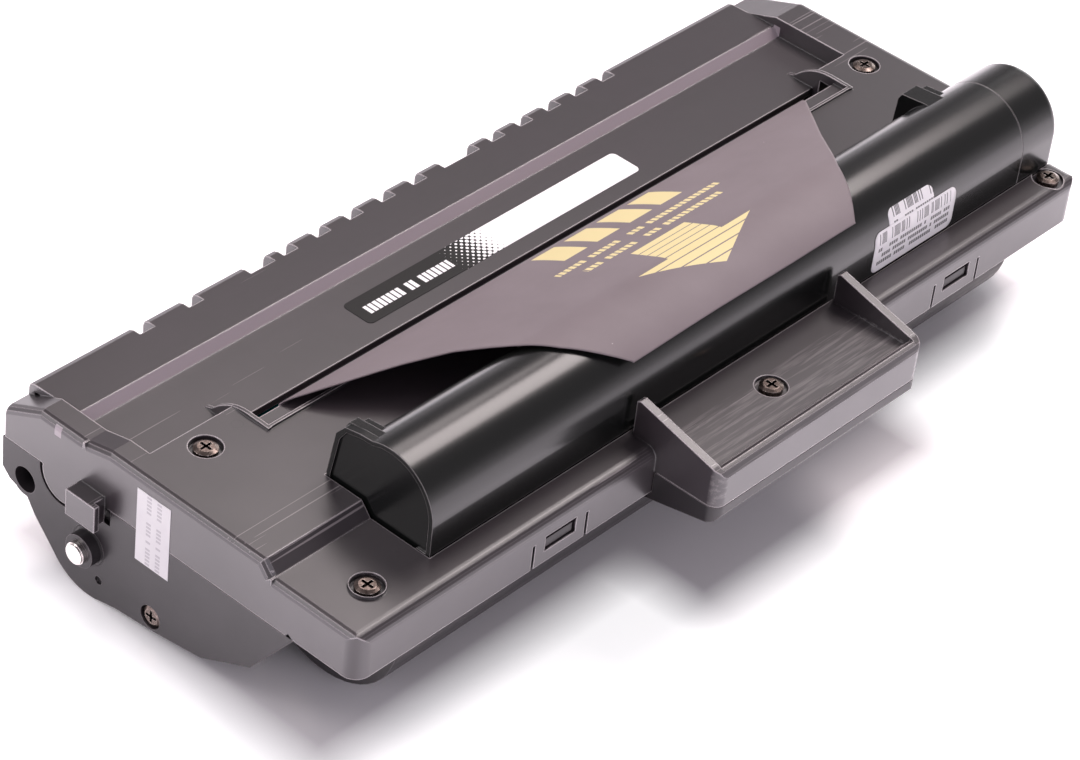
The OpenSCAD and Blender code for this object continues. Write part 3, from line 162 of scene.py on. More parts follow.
@dataclass(frozen=True)
class Finish:
    """A real material: what it is made of, how its surface was made, and what that gives the eye.

    Lengths are millimetres. The mottle is the slow change of colour and gloss over the piece, the grain
    is the fine relief that the mould, the grinder or the fibres leave.
    """

    title: str
    colour: str
    shade: str
    roughness: float
    roughness_spread: float = 0.08
    mottle: float = 18.0
    grain: float = 0.5
    grain_depth: float = 0.01
    metallic: float = 0.0
    ior: float = 1.5
    edge_radius: float = 0.35
    # Painted highlight on convex rounded edges, which also stands for handling wear; a non-zero amount also switches
    # on painted shade in hollows.
    edge_highlight_colour: str = ""
    edge_highlight_amount: float = 0.0
    dust: float = 0.0
    stretch: tuple[float, float, float] = (1.0, 1.0, 1.0)
    surface: Surface = Surface.SOLID
    coat: float = 0.0
    coat_roughness: float = 0.12

    def material(self) -> bpy.types.Material:
        """Builds the material once and returns it on every later call."""
        known = bpy.data.materials.get(self.title)
        if known is not None:
            return known
        made = bpy.data.materials.new(self.title)
        made.use_nodes = True
        made.diffuse_color = linear(self.colour)
        tree = made.node_tree
        tree.nodes.clear()
        place = add_node(tree, "ShaderNodeTexCoord").outputs[self.surface.value]
        drawn = add_node(tree, "ShaderNodeMapping", {"Vector": place, "Scale": self.stretch}).outputs[0]
        slow = add_node(tree, "ShaderNodeTexNoise",
                        {"Vector": drawn, "Scale": 1 / (self.mottle * MM), "Detail": 4.0, "Roughness": 0.6})
        fine = add_node(tree, "ShaderNodeTexNoise",
                        {"Vector": drawn, "Scale": 1 / (self.grain * MM), "Detail": 2.0, "Roughness": 0.55})
        spread = calc(tree, "SUBTRACT", slow.outputs[0], 0.5)
        colour = blend_colours(tree, calc(tree, "MULTIPLY_ADD", spread, 2.2, 0.5, clamp=True),
                               linear(self.colour), linear(self.shade))
        gloss = calc(tree, "MULTIPLY_ADD", spread, 2 * self.roughness_spread, self.roughness, clamp=True)
        round_off = add_node(tree, "ShaderNodeBevel", {"Radius": self.edge_radius * MM}, samples=6)
        colour, gloss = self.painted_edges_hollows_and_dust(tree, round_off, colour, gloss, drawn)
        colour, gloss = self.marked(tree, place, colour, gloss)
        relief = add_node(tree, "ShaderNodeBump", {
            "Strength": 1.0, "Distance": self.grain_depth * MM, "Height": fine.outputs[0],
            "Normal": round_off.outputs[0]})
        shader = add_node(tree, "ShaderNodeBsdfPrincipled", {
            "Base Color": colour, "Roughness": gloss, "Metallic": self.metallic, "IOR": self.ior,
            "Normal": relief.outputs[0], "Coat Weight": self.coat, "Coat Roughness": self.coat_roughness,
            "Coat Normal": round_off.outputs[0]})
        out = add_node(tree, "ShaderNodeOutputMaterial", {"Surface": shader.outputs[0]})
        out.is_active_output = True
        self.finished(tree, shader, place)
        return made

    def painted_edges_hollows_and_dust(self, tree, round_off, colour, gloss, drawn):
        """Paints a highlight on the convex rounded edges, which also stands for handling wear, paints shade into
        hollows and inside corners, and sets dust specks.
        """
        if self.edge_highlight_amount:
            flat = add_node(tree, "ShaderNodeNewGeometry").outputs["Normal"]
            alike = add_node(tree, "ShaderNodeVectorMath", {0: flat, 1: round_off.outputs[0]},
                             operation="DOT_PRODUCT").outputs["Value"]
            edge = calc(tree, "MULTIPLY", calc(tree, "SUBTRACT", 1.0, alike), 9 * self.edge_highlight_amount, clamp=True)
            open_sky = add_node(tree, "ShaderNodeAmbientOcclusion", {"Distance": 2 * MM}, samples=4,
                                only_local=True).outputs["AO"]
            proud = calc(tree, "MULTIPLY_ADD", open_sky, 5.0, -4.0, clamp=True)
            # Painted highlight: convex edges are lightened towards the edge colour.
            colour = blend_colours(tree, calc(tree, "MULTIPLY", edge, proud), colour, linear(self.edge_highlight_colour))
            # Painted shade: where little open sky is seen, in hollows and inside corners, the colour is darkened
            # towards near black.
            painted_corner_shade = calc(tree, "MULTIPLY", calc(tree, "SUBTRACT", 1.0, open_sky), 0.9, clamp=True)
            colour = blend_colours(tree, painted_corner_shade, colour, linear("0b0a0b"))
        if self.dust:
            specks = add_node(tree, "ShaderNodeTexVoronoi", {"Vector": drawn, "Scale": 1 / (3.6 * MM)})
            tint = add_node(tree, "ShaderNodeSeparateColor", {0: specks.outputs["Color"]})
            lies = calc(tree, "LESS_THAN", tint.outputs[0], self.dust)
            small = calc(tree, "LESS_THAN", specks.outputs["Distance"], 0.045)
            colour = blend_colours(tree, calc(tree, "MULTIPLY", lies, small), colour, linear("b9b2b2"))
        return colour, gloss

    def marked(self, tree, place, colour, gloss):
        """Adds what is printed or drawn on the surface; a plain finish has nothing."""
        return colour, gloss

    def finished(self, tree, shader, place) -> None:
        """Adds what only one kind of finish needs on its shader; a plain finish has nothing."""


@dataclass(frozen=True)
class CoverPlastic(Finish):
    """Black ABS from a spark-eroded mould: satin, with painted highlights on its edges, dust and a few fine straight
    scratches.

    The rings are the marks of two ejector pins. The shelf box, if it has one, is the shelf of the handle, which
    fingers have rubbed into fine light lines along its length; their lighter colour is partly painted highlight. The
    band box, if it has one, is a strip at the back of the plate that is painted lighter as a highlight.
    """

    scratch: float = 0.45
    rings: tuple[tuple[float, float], ...] = ()
    ring_radius: float = 1.6
    rubbed_and_highlit_shelf: tuple[float, ...] = ()
    painted_ridge_highlight: tuple[float, ...] = ()

    def marked(self, tree, place, colour, gloss):
        """Draws scratches, rings, rubbed lines with painted highlight streaks, and a painted highlight band.

        A scratch is where a noise that is stretched a hundredfold along one direction passes a limit,
        on faces that look up, and a slow noise keeps it to a few places.

        Args:
            tree: The node tree.
            place: The socket with the place on the piece.
            colour: The colour so far.
            gloss: The roughness so far.

        Returns:
            The colour and the roughness.
        """
        pale = linear("a39b9d")
        facing = add_node(tree, "ShaderNodeNewGeometry").outputs["Normal"]
        upward = calc(tree, "GREATER_THAN", add_node(tree, "ShaderNodeSeparateXYZ", {0: facing}).outputs[2], 0.5)
        for turn, seed in ((0.55, 3.0), (-0.9, 8.0)):
            turned = add_node(tree, "ShaderNodeMapping", {
                "Vector": place, "Rotation": (0.0, 0.0, turn), "Scale": (0.011, 1.0, 1.0),
                "Location": (seed, seed, 0.0)})
            thin = add_node(tree, "ShaderNodeTexNoise",
                            {"Vector": turned.outputs[0], "Scale": 1 / (0.5 * MM), "Detail": 0.0})
            where = add_node(tree, "ShaderNodeTexNoise",
                             {"Vector": turned.outputs[0], "Scale": 1 / (11 * MM), "Detail": 1.0})
            line = calc(tree, "MULTIPLY", calc(tree, "GREATER_THAN", thin.outputs[0], 0.735),
                        calc(tree, "GREATER_THAN", where.outputs[0], 0.56))
            line = calc(tree, "MULTIPLY", line, upward)
            colour = blend_colours(tree, calc(tree, "MULTIPLY", line, self.scratch), colour, pale)
        split = add_node(tree, "ShaderNodeSeparateXYZ", {0: place})
        for x, y in self.rings:
            away = add_node(tree, "ShaderNodeVectorMath", {
                0: add_node(tree, "ShaderNodeCombineXYZ", {0: split.outputs[0], 1: split.outputs[1]}).outputs[0],
                1: (x, y, 0.0)}, operation="DISTANCE").outputs["Value"]
            band = inside(tree, away, (self.ring_radius - 0.2) * MM, self.ring_radius * MM)
            colour = blend_colours(tree, calc(tree, "MULTIPLY", band, 0.55), colour, linear("1b191a"))
        if self.rubbed_and_highlit_shelf:
            x0, x1, y0, y1, top = self.rubbed_and_highlit_shelf
            shelf = calc(tree, "MULTIPLY", inside(tree, split.outputs[0], x0, x1), inside(tree, split.outputs[1], y0, y1))
            shelf = calc(tree, "MULTIPLY", shelf, calc(tree, "LESS_THAN", split.outputs[2], top))
            drawn = add_node(tree, "ShaderNodeMapping", {"Vector": place, "Scale": (0.05, 1.0, 1.0)})
            rub_and_highlight_streaks = add_node(tree, "ShaderNodeTexNoise",
                           {"Vector": drawn.outputs[0], "Scale": 1 / (1.1 * MM), "Detail": 3.0, "Roughness": 0.7})
            part = calc(tree, "MULTIPLY", calc(tree, "MULTIPLY_ADD", rub_and_highlight_streaks.outputs[0], 5.0, -2.3, clamp=True), shelf)
            # Rubbed lines on the handle's shelf, lightened in colour: partly real rubbing, partly painted highlight
            # streaks.
            colour = blend_colours(tree, calc(tree, "MULTIPLY", part, 0.4), colour, linear("8f898a"))
            gloss = calc(tree, "MULTIPLY_ADD", part, -0.08, gloss)
        # Painted highlight: a band at the back of the plate, where a crease catches the light, is lightened.
        if self.painted_ridge_highlight:
            y0, y1, low, top = self.painted_ridge_highlight
            band = calc(tree, "MULTIPLY", inside(tree, split.outputs[1], y0, y1), inside(tree, split.outputs[2], low, top))
            colour = blend_colours(tree, calc(tree, "MULTIPLY", band, 0.8), colour, linear("a3979e"))
        return colour, gloss


@dataclass(frozen=True)
class PrintedCard(Finish):
    """Uncoated grey-brown card with yellow print: a striped arrow under blocks and rows of bars.

    The print is placed on the flat sheet: u runs along the slot, v from the slot to the free edge.
    """

    ink: str = "dfd09a"
    arrow_x: float = 151.3
    shaft: tuple[float, float] = (33.4, 46.7)
    shaft_half: float = 10.6
    head_half: float = 22.0
    tip: float = 57.3
    stripe: float = 3.05
    blocks: tuple[tuple[float, float], ...] = ((133.5, 142.5), (146.3, 155.2), (159.2, 168.2), (171.6, 180.4))
    block_rows: tuple[float, float] = (4.3, 16.8)

    def marked(self, tree, place, colour, gloss):
        """Inks the arrow, four plain blocks and two rows of short bars."""
        split = add_node(tree, "ShaderNodeSeparateXYZ", {0: place})
        u, v = split.outputs[0], split.outputs[1]
        off_axis = calc(tree, "ABSOLUTE", calc(tree, "SUBTRACT", u, self.arrow_x * MM))
        shaft = calc(tree, "MULTIPLY", calc(tree, "LESS_THAN", off_axis, self.shaft_half * MM),
                     inside(tree, v, self.shaft[0] * MM, self.shaft[1] * MM))
        slope = self.head_half / (self.tip - self.shaft[1])
        reach = calc(tree, "MULTIPLY", calc(tree, "SUBTRACT", self.tip * MM, v), slope)
        head = calc(tree, "MULTIPLY", calc(tree, "LESS_THAN", off_axis, reach),
                    calc(tree, "GREATER_THAN", v, (self.shaft[1] - 0.05) * MM))
        lines = calc(tree, "FRACT", calc(tree, "DIVIDE", calc(tree, "SUBTRACT", v, self.shaft[0] * MM), self.stripe * MM))
        striped = calc(tree, "GREATER_THAN", lines, 0.12)
        ink = calc(tree, "MULTIPLY", calc(tree, "ADD", shaft, head, clamp=True), striped)
        for low, high in self.blocks:
            block = calc(tree, "MULTIPLY", inside(tree, u, low * MM, high * MM),
                         inside(tree, v, self.block_rows[0] * MM, self.block_rows[1] * MM))
            ink = calc(tree, "ADD", ink, block, clamp=True)
        for x_low, x_high, row in ((124.0, 187.5, 21.9), (128.5, 182.0, 27.9)):
            line = calc(tree, "MULTIPLY", inside(tree, u, x_low * MM, x_high * MM),
                        inside(tree, v, row * MM, (row + 2.3) * MM))
            words = dashes(tree, u, v, 1.9, 400.0, 1.0, 0.86, 0.72)
            ink = calc(tree, "ADD", ink, calc(tree, "MULTIPLY", line, words), clamp=True)
        return blend_colours(tree, ink, colour, linear(self.ink)), gloss


@dataclass(frozen=True)
class HalftoneLabel(Finish):
    """Glossy paper label that runs from black over growing round dots to white, with plain bars on the black."""

    left: float = 0.0
    low: float = 0.0
    length: float = 106.0
    dots: tuple[float, float] = (0.33, 0.52)
    pitch: float = 2.1

    def marked(self, tree, place, colour, gloss):
        """White dots grow along the label until they close; bars stand where a caption would."""
        split = add_node(tree, "ShaderNodeSeparateXYZ", {0: place})
        x = calc(tree, "SUBTRACT", split.outputs[0], self.left)
        y = calc(tree, "SUBTRACT", split.outputs[1], self.low)
        share = calc(tree, "DIVIDE", x, self.length * MM)
        grown = calc(tree, "DIVIDE", calc(tree, "SUBTRACT", share, self.dots[0]), self.dots[1] - self.dots[0], clamp=True)
        parts = []
        for operation in ("ADD", "SUBTRACT"):
            turned = calc(tree, "DIVIDE", calc(tree, operation, x, y), self.pitch * MM)
            parts.append(calc(tree, "POWER", calc(tree, "SUBTRACT", calc(tree, "FRACT", turned), 0.5), 2.0))
        away = calc(tree, "SQRT", calc(tree, "ADD", *parts))
        white = calc(tree, "LESS_THAN", away, calc(tree, "MULTIPLY", grown, 0.78))
        caption = calc(tree, "MULTIPLY", inside(tree, x, 3.5 * MM, 35 * MM), inside(tree, y, 3.0 * MM, 6.4 * MM))
        letters = dashes(tree, x, y, 1.7, 400.0, 1.0, 0.93, 0.74)
        white = calc(tree, "ADD", white, calc(tree, "MULTIPLY", caption, letters), clamp=True)
        return blend_colours(tree, white, linear("0d0c0c"), colour), gloss


@dataclass(frozen=True)
class BarcodeLabel(Finish):
    """White paper label with a band of upright bars over rows of short dashes, none of it readable."""

    ink: str = "2b2a2c"

    def marked(self, tree, place, colour, gloss):
        """The bars take the label's upper part, the dashes its lower part."""
        split = add_node(tree, "ShaderNodeSeparateXYZ", {0: place})
        u, v = split.outputs[0], split.outputs[1]
        frame_u = inside(tree, u, 2 * MM, 33 * MM)
        bars = calc(tree, "MULTIPLY", dashes(tree, u, v, 0.52, 400.0, 1.0, 0.62, 0.7),
                    inside(tree, v, 8.6 * MM, 12.0 * MM))
        rows = calc(tree, "MULTIPLY", dashes(tree, u, v, 0.95, 2.1, 0.55, 0.8),
                    inside(tree, v, 1.2 * MM, 7.6 * MM))
        ink = calc(tree, "MULTIPLY", frame_u, calc(tree, "ADD", bars, rows, clamp=True))
        return blend_colours(tree, calc(tree, "MULTIPLY", ink, 0.85), colour, linear(self.ink)), gloss


@dataclass(frozen=True)
class DashLabel(Finish):
    """White paper label with two columns of grey dashes that run down it."""

    middle_y: float = 0.0

    def marked(self, tree, place, colour, gloss):
        """Short bars in two columns, one bar deep each."""
        split = add_node(tree, "ShaderNodeSeparateXYZ", {0: place})
        y, z = split.outputs[1], split.outputs[2]
        ink = None
        for shift in (-2.0, 1.5):
            centre = self.middle_y + shift * MM
            column = inside(tree, y, centre - 0.8 * MM, centre + 0.8 * MM)
            ink = column if ink is None else calc(tree, "ADD", ink, column)
        bars = dashes(tree, z, y, 1.15, 400.0, 1.0, 0.85, 0.62)
        return blend_colours(tree, calc(tree, "MULTIPLY", calc(tree, "MULTIPLY", ink, bars), 0.45),
                             colour, linear("8d8790")), gloss


@dataclass(frozen=True)
class FloorFinish(Finish):
    """Polished white acrylic table top, lit through from below, so that it looks white past a painted shadow round
    the cartridge.

    The glow is seen by the camera and in reflections only, and puts no light on the cartridge. It is nought on the
    painted shadow boxes (low x, low y, high x, high y in metres), and rises to its whole strength at reach past
    them. In reflections it is nought on one more box over the cartridge's footprint, a painted shade, and rises over
    its own reach.
    """

    glow: float = 0.7
    mirrored_glow: float = 1.4
    tint: str = "fff6fe"
    painted_shadow_boxes: tuple[tuple[float, ...], ...] = ()
    reach: float = 17.0
    painted_reflection_shade: tuple[float, ...] = (0.0, 0.0, 0.1, 0.1)
    mirrored_reach: float = 45.0

    def rise(self, tree: bpy.types.NodeTree, spot: bpy.types.Node, box: tuple[float, ...],
             reach: float) -> bpy.types.NodeSocket:
        """Rises from nought on a box to one at a distance past it.

        Args:
            tree: The node tree.
            spot: The node with the place on the table split into x and y.
            box: Low x, low y, high x and high y in metres.
            reach: The distance in millimetres.

        Returns:
            The share of the whole strength.
        """
        beyond = []
        for axis in (0, 1):
            middle, half = (box[axis] + box[axis + 2]) / 2, (box[axis + 2] - box[axis]) / 2
            off = calc(tree, "ABSOLUTE", calc(tree, "SUBTRACT", spot.outputs[axis], middle))
            out = calc(tree, "MAXIMUM", calc(tree, "SUBTRACT", off, half), 0.0)
            beyond.append(calc(tree, "POWER", out, 2.0))
        away = calc(tree, "SQRT", calc(tree, "ADD", *beyond))
        return calc(tree, "DIVIDE", away, reach * MM, clamp=True)

    def finished(self, tree, shader, place) -> None:
        """Adds the glow for camera and glossy rays, cut back to nothing in the painted shadow and shade boxes."""
        path = add_node(tree, "ShaderNodeLightPath")
        spot = add_node(tree, "ShaderNodeSeparateXYZ", {0: place})
        seen = calc(tree, "MULTIPLY", path.outputs["Is Camera Ray"], self.glow)
        # Painted shadow: the glow seen by the camera is cut back to nothing over these boxes round the cartridge.
        for box in self.painted_shadow_boxes:
            seen = calc(tree, "MULTIPLY", seen, self.rise(tree, spot, box, self.reach))
        # Painted shade in reflections: the reflected glow is cut back over the cartridge's footprint.
        mirrored = calc(tree, "MULTIPLY", path.outputs["Is Glossy Ray"], self.mirrored_glow)
        mirrored = calc(tree, "MULTIPLY", mirrored, self.rise(tree, spot, self.painted_reflection_shade, self.mirrored_reach))
        tree.links.new(calc(tree, "ADD", seen, mirrored), shader.inputs["Emission Strength"])
        colour = blend_colours(tree, path.outputs["Is Camera Ray"], linear(self.tint), linear("ffffff"))
        tree.links.new(colour, shader.inputs["Emission Color"])


# The edge colour and amount of a finish paint a highlight on its convex rounded edges, which also stands for
# handling wear.
COVER = CoverPlastic("moulded_abs_cover", "363034", "2c272a", 0.36, 0.08, 26.0, 0.45, 0.006,
                     edge_radius=0.6, edge_highlight_colour="d8d0d2", edge_highlight_amount=0.9, dust=0.015, coat=0.6,
                     coat_roughness=0.3)
# The cover's ABS again, painted darker: painted shade for the lower pieces, which sit out of the light; it is also
# duller, without a coat.
ABS_IN_PAINTED_SHADE = CoverPlastic("moulded_abs_painted_shade", "282427", "201d1f", 0.4, 0.07, 22.0, 0.45, 0.006,
                     edge_radius=0.4, edge_highlight_colour="8d8688", edge_highlight_amount=0.35, dust=0.004, scratch=0.2, coat=0.0,
                     coat_roughness=0.32)
HOPPER = Finish("polished_abs_hopper", "101211", "0c0e0d", 0.24, 0.05, 30.0, 0.7, 0.002,
                edge_radius=0.4, edge_highlight_colour="a59f9f", edge_highlight_amount=0.3, dust=0.008, stretch=(0.12, 1.0, 1.0),
                coat=0.2, coat_roughness=0.16)
SCREW = Finish("bronzed_steel_screw", "8a7d76", "4f4541", 0.28, 0.12, 1.0, 0.3, 0.006, metallic=1.0,
               edge_radius=0.15, edge_highlight_colour="d5cbc5", edge_highlight_amount=0.5)
STEEL = Finish("zinc_plated_steel", "a39a94", "8f8883", 0.3, 0.08, 4.0, 0.25, 0.004, metallic=1.0,
               edge_radius=0.2)
BRIGHT_STEEL = Finish("turned_bright_steel", "e2deda", "d3cecb", 0.22, 0.05, 3.0, 0.2, 0.0004, metallic=1.0,
                      edge_radius=0.2)
BRASS = Finish("rolled_brass", "c7a15a", "b38d4a", 0.28, 0.06, 6.0, 0.3, 0.003, metallic=1.0, edge_radius=0.1)
ACETAL = Finish("moulded_acetal", "ded9cb", "d3cdbd", 0.38, 0.05, 9.0, 0.4, 0.004, edge_radius=0.25)
DRUM = Finish("photoconductor_coat", "2f8f94", "2a858c", 0.12, 0.02, 60.0, 0.6, 0.0006, ior=1.58,
              edge_radius=0.1, coat=0.6)
RUBBER = Finish("ground_rubber", "2c2c2e", "252527", 0.6, 0.05, 12.0, 0.3, 0.01, edge_radius=0.2)
FOAM = Finish("open_cell_foam", "3f3f42", "2b2b2e", 0.9, 0.05, 1.2, 0.5, 0.12, edge_radius=0.3)
COATED_ROLLER = Finish("coated_roller", "313133", "2a2a2c", 0.4, 0.04, 40.0, 0.25, 0.006, edge_radius=0.2)
URETHANE = Finish("amber_urethane", "cfa45e", "c19752", 0.3, 0.04, 30.0, 0.6, 0.002, edge_radius=0.1)
FELT = Finish("pressed_felt", "d6d2c8", "c6c1b5", 0.95, 0.03, 1.5, 0.3, 0.08, edge_radius=0.3)
FILM = Finish("polyester_film", "9aa1a8", "8f979f", 0.15, 0.03, 30.0, 0.8, 0.001, edge_radius=0.05)
CARD = PrintedCard("printed_card", "7d7276", "756a6e", 0.58, 0.05, 30.0, 0.35, 0.006,
                   edge_radius=0.1, dust=0.05, surface=Surface.SHEET)
PAPER_BARCODE = BarcodeLabel("barcode_paper", "f1eff1", "e7e4e8", 0.4, 0.05, 12.0, 0.4, 0.004,
                             edge_radius=0.05, surface=Surface.SHEET)

NODE_FINISHES: dict[str, Finish] = {
    "toner_hopper": HOPPER, "hopper_end_cap": HOPPER, "hopper_base": ABS_IN_PAINTED_SHADE,
    "fill_plug": ACETAL, "drum_frame": ABS_IN_PAINTED_SHADE, "left_end_cap": ABS_IN_PAINTED_SHADE, "right_end_cap": ABS_IN_PAINTED_SHADE,
    "drum_shaft": BRIGHT_STEEL, "left_shaft_bush": ABS_IN_PAINTED_SHADE, "right_shaft_bush": ABS_IN_PAINTED_SHADE, "opc_drum": DRUM,
    "drum_hub": ACETAL, "drum_gear": ACETAL, "drum_ground_plate": BRASS, "charge_roller_shaft": STEEL,
    "charge_roller_sleeve": RUBBER, "charge_bearings": ACETAL, "charge_springs": STEEL,
    "cleaning_blade": URETHANE, "cleaning_bracket": STEEL, "recovery_film": FILM,
    "developer_sleeve": COATED_ROLLER, "developer_shaft": STEEL, "developer_gear": ACETAL,
    "developer_bushes": ACETAL, "developer_felts": FELT, "supply_foam": FOAM, "supply_shaft": STEEL,
    "supply_gear": ACETAL, "supply_bushes": ACETAL, "doctor_blade": STEEL, "doctor_bracket": STEEL,
    "blade_screws": STEEL, "agitator_shaft": ACETAL, "agitator_film": FILM, "agitator_gear": ACETAL,
    "agitator_seal": FELT, "lower_idler_gear": ACETAL, "upper_idler_gear": ACETAL, "idler_pins": STEEL,
    "drum_contact": BRASS, "developer_contact": BRASS, "supply_contact": BRASS, "cover_screws": SCREW,
    "end_cap_screws": SCREW,
}


def dress(piece: bpy.types.Object, finish: Finish) -> None:
    """Gives a piece one finish all over."""
    piece.data.materials.clear()
    piece.data.materials.append(finish.material())


def surface_from_grid(name: str, points: np.ndarray, uv: np.ndarray | None = None) -> bpy.types.Object:
    """Makes a mesh from a grid of points.

    Each cell of the grid becomes one four-sided face. Rows run along the first parameter and columns
    along the second, and the face's side shows outwards where rows, then columns, turn anticlockwise.

    Args:
        name: The piece's name.
        points: Rows by columns by three, in metres.
        uv: Rows by columns by two, the piece's own flat coordinates in metres.

    Returns:
        The new object, at the origin.
    """
    rows, columns = points.shape[:2]
    index = np.arange(rows * columns).reshape(rows, columns)
    faces = np.stack([index[:-1, :-1], index[1:, :-1], index[1:, 1:], index[:-1, 1:]], axis=-1).reshape(-1, 4)
    mesh = bpy.data.meshes.new(name)
    mesh.from_pydata(points.reshape(-1, 3).tolist(), [], faces.tolist())
    if uv is not None:
        layer = mesh.uv_layers.new(name="flat")
        layer.data.foreach_set("uv", uv.reshape(-1, 2)[faces.reshape(-1)].astype(np.float32).reshape(-1))
    mesh.polygons.foreach_set("use_smooth", np.ones(len(faces), dtype=bool))
    mesh.update()
    piece = bpy.data.objects.new(name, mesh)
    bpy.context.scene.collection.objects.link(piece)
    return piece


def bezier(corners: np.ndarray, t: np.ndarray) -> np.ndarray:
    """Cubic curve through the first and last of four points, pulled towards the other two."""
    w = np.stack([(1 - t) ** 3, 3 * t * (1 - t) ** 2, 3 * t * t * (1 - t), t ** 3], axis=-1)
    return w @ corners


@dataclass
class Datum:
    """Where the cartridge's own measuring corner lies: left end face, flange front, flange's lower edge."""

    handle_reach: float = 20.3
    flange_drop: float = 31.6
    origin: np.ndarray = field(init=False)

    def __post_init__(self) -> None:
        """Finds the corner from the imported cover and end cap."""
        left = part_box("left_end_cap")[0][0]
        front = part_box("top_cover")[0][1] + self.handle_reach * MM
        self.origin = np.array([left, front, self.flange_drop * MM])

    def place(self, points: np.ndarray) -> np.ndarray:
        """Moves points given in millimetres from the corner to metres in the frame."""
        return points * MM + self.origin


@dataclass
class TopCover:
    """The top cover: two ejector marks on its plate, the shelf of its handle, which fingers have rubbed and whose
    light lines are partly painted highlight, and a painted highlight band at the back of its plate.
    """

    datum: Datum
    rings: tuple[tuple[float, float], ...] = ((31.2, 72.2), (266.3, 72.5))
    # Box of the handle's shelf, whose rubbed lines are partly painted highlight streaks.
    shelf_x: tuple[float, float] = (105.5, 187.5)
    shelf_y: tuple[float, float] = (-20.3, 0.3)
    shelf_top: float = 16.2
    # Box of the painted highlight band, in millimetres from the corner.
    ridge_highlight_y: tuple[float, float] = (101.0, 103.3)
    ridge_highlight_z: tuple[float, float] = (11.6, 14.6)

    def dress(self) -> None:
        """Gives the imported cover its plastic, with the marks moved into the frame."""
        marks = tuple(tuple(float(v) for v in self.datum.place(np.array([x, y, 0.0]))[:2]) for x, y in self.rings)
        low = self.datum.place(np.array([self.shelf_x[0], self.shelf_y[0], 0.0]))
        high = self.datum.place(np.array([self.shelf_x[1], self.shelf_y[1], self.shelf_top]))
        shelf = (float(low[0]), float(high[0]), float(low[1]), float(high[1]), float(high[2]))
        first = self.datum.place(np.array([0.0, self.ridge_highlight_y[0], self.ridge_highlight_z[0]]))
        last = self.datum.place(np.array([0.0, self.ridge_highlight_y[1], self.ridge_highlight_z[1]]))
        painted_ridge_highlight = (float(first[1]), float(last[1]), float(first[2]), float(last[2]))
        dress(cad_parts["top_cover"], replace(COVER, rings=marks, rubbed_and_highlit_shelf=shelf, painted_ridge_highlight=painted_ridge_highlight))


@dataclass
class ProtectiveSheet:
    """The card that is drawn out through the slot: up out of it, then forward over the hopper.

    Its section is one path: a straight rise inside the slot and two cubic curves. The card's edges are
    curves on the flat sheet, so the surface is x between the two edges, and the distance along the path.
    """

    datum: Datum
    thickness: float = 0.35
    below: float = 16.0
    rise: tuple[float, float] = (71.6, 16.6)
    crest: tuple[float, float] = (33.0, 37.0)
    end: tuple[float, float] = (11.0, 34.6)
    left_edge: tuple[tuple[float, float], ...] = (
        (-16.0, 44.2), (0.0, 44.8), (6.0, 49.6), (11.6, 56.1), (20.4, 68.4), (29.7, 78.4), (38.0, 83.0),
        (45.0, 86.3), (53.1, 92.2), (60.1, 99.2), (66.5, 105.9))
    right_edge: tuple[tuple[float, float], ...] = (
        (-16.0, 250.5), (0.0, 250.5), (5.0, 247.0), (14.0, 238.4), (30.0, 223.4), (49.3, 206.7), (58.2, 200.6),
        (66.5, 194.0))

    def section(self, count: int = 240) -> tuple[np.ndarray, np.ndarray]:
        """Points of the path and their distance along it, nought where the card leaves the slot's ledge."""
        rise, crest, end = (np.array(p) for p in (self.rise, self.crest, self.end))
        first = bezier(np.array([rise, rise + [-1.1, 2.9], crest + [17, -7.5], crest]), np.linspace(0, 1, count))
        second = bezier(np.array([crest, crest + [-6, 2.4], end + [8, 4.8], end]), np.linspace(0, 1, count))[1:]
        low = np.array([[rise[0], rise[1] - self.below]])
        path = np.concatenate([low, first, second])
        along = np.concatenate([[0.0], np.cumsum(np.linalg.norm(np.diff(path, axis=0), axis=1))]) - self.below
        return path, along

    def surface(self, x: np.ndarray, along: np.ndarray) -> np.ndarray:
        """The card's upper face: the path carried along x, with a slow wave of a quarter of a millimetre."""
        path, known = self.section()
        y = np.interp(along, known, path[:, 0])
        z = np.interp(along, known, path[:, 1])
        free = np.clip(along / 60, 0, 1) ** 2
        wave = 0.25 * free * np.sin(x / 23.0 + 0.8) + 0.15 * free * np.sin(x / 9.5)
        return np.stack([x, y, z + wave], axis=-1)

    def build(self) -> bpy.types.Object:
        """Builds the card and gives it a thickness downwards."""
        _, known = self.section()
        along = np.linspace(known[0], known[-1], 190)
        lefts, rights = np.array(self.left_edge), np.array(self.right_edge)
        left = np.interp(along, lefts[:, 0], lefts[:, 1])
        right = np.interp(along, rights[:, 0], rights[:, 1])
        share = np.linspace(0, 1, 160)
        x = left[:, None] + (right - left)[:, None] * share[None, :]
        grid_along = np.repeat(along[:, None], share.size, axis=1)
        points = self.datum.place(self.surface(x, grid_along))
        uv = np.stack([x, grid_along], axis=-1) * MM
        card = surface_from_grid("pull_out_card", points, uv)
        wall = card.modifiers.new("thickness", "SOLIDIFY")
        wall.thickness = self.thickness * MM
        wall.offset = -1.0
        dress(card, CARD)
        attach(card, HOUSING)
        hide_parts("protective_sheet")
        return card


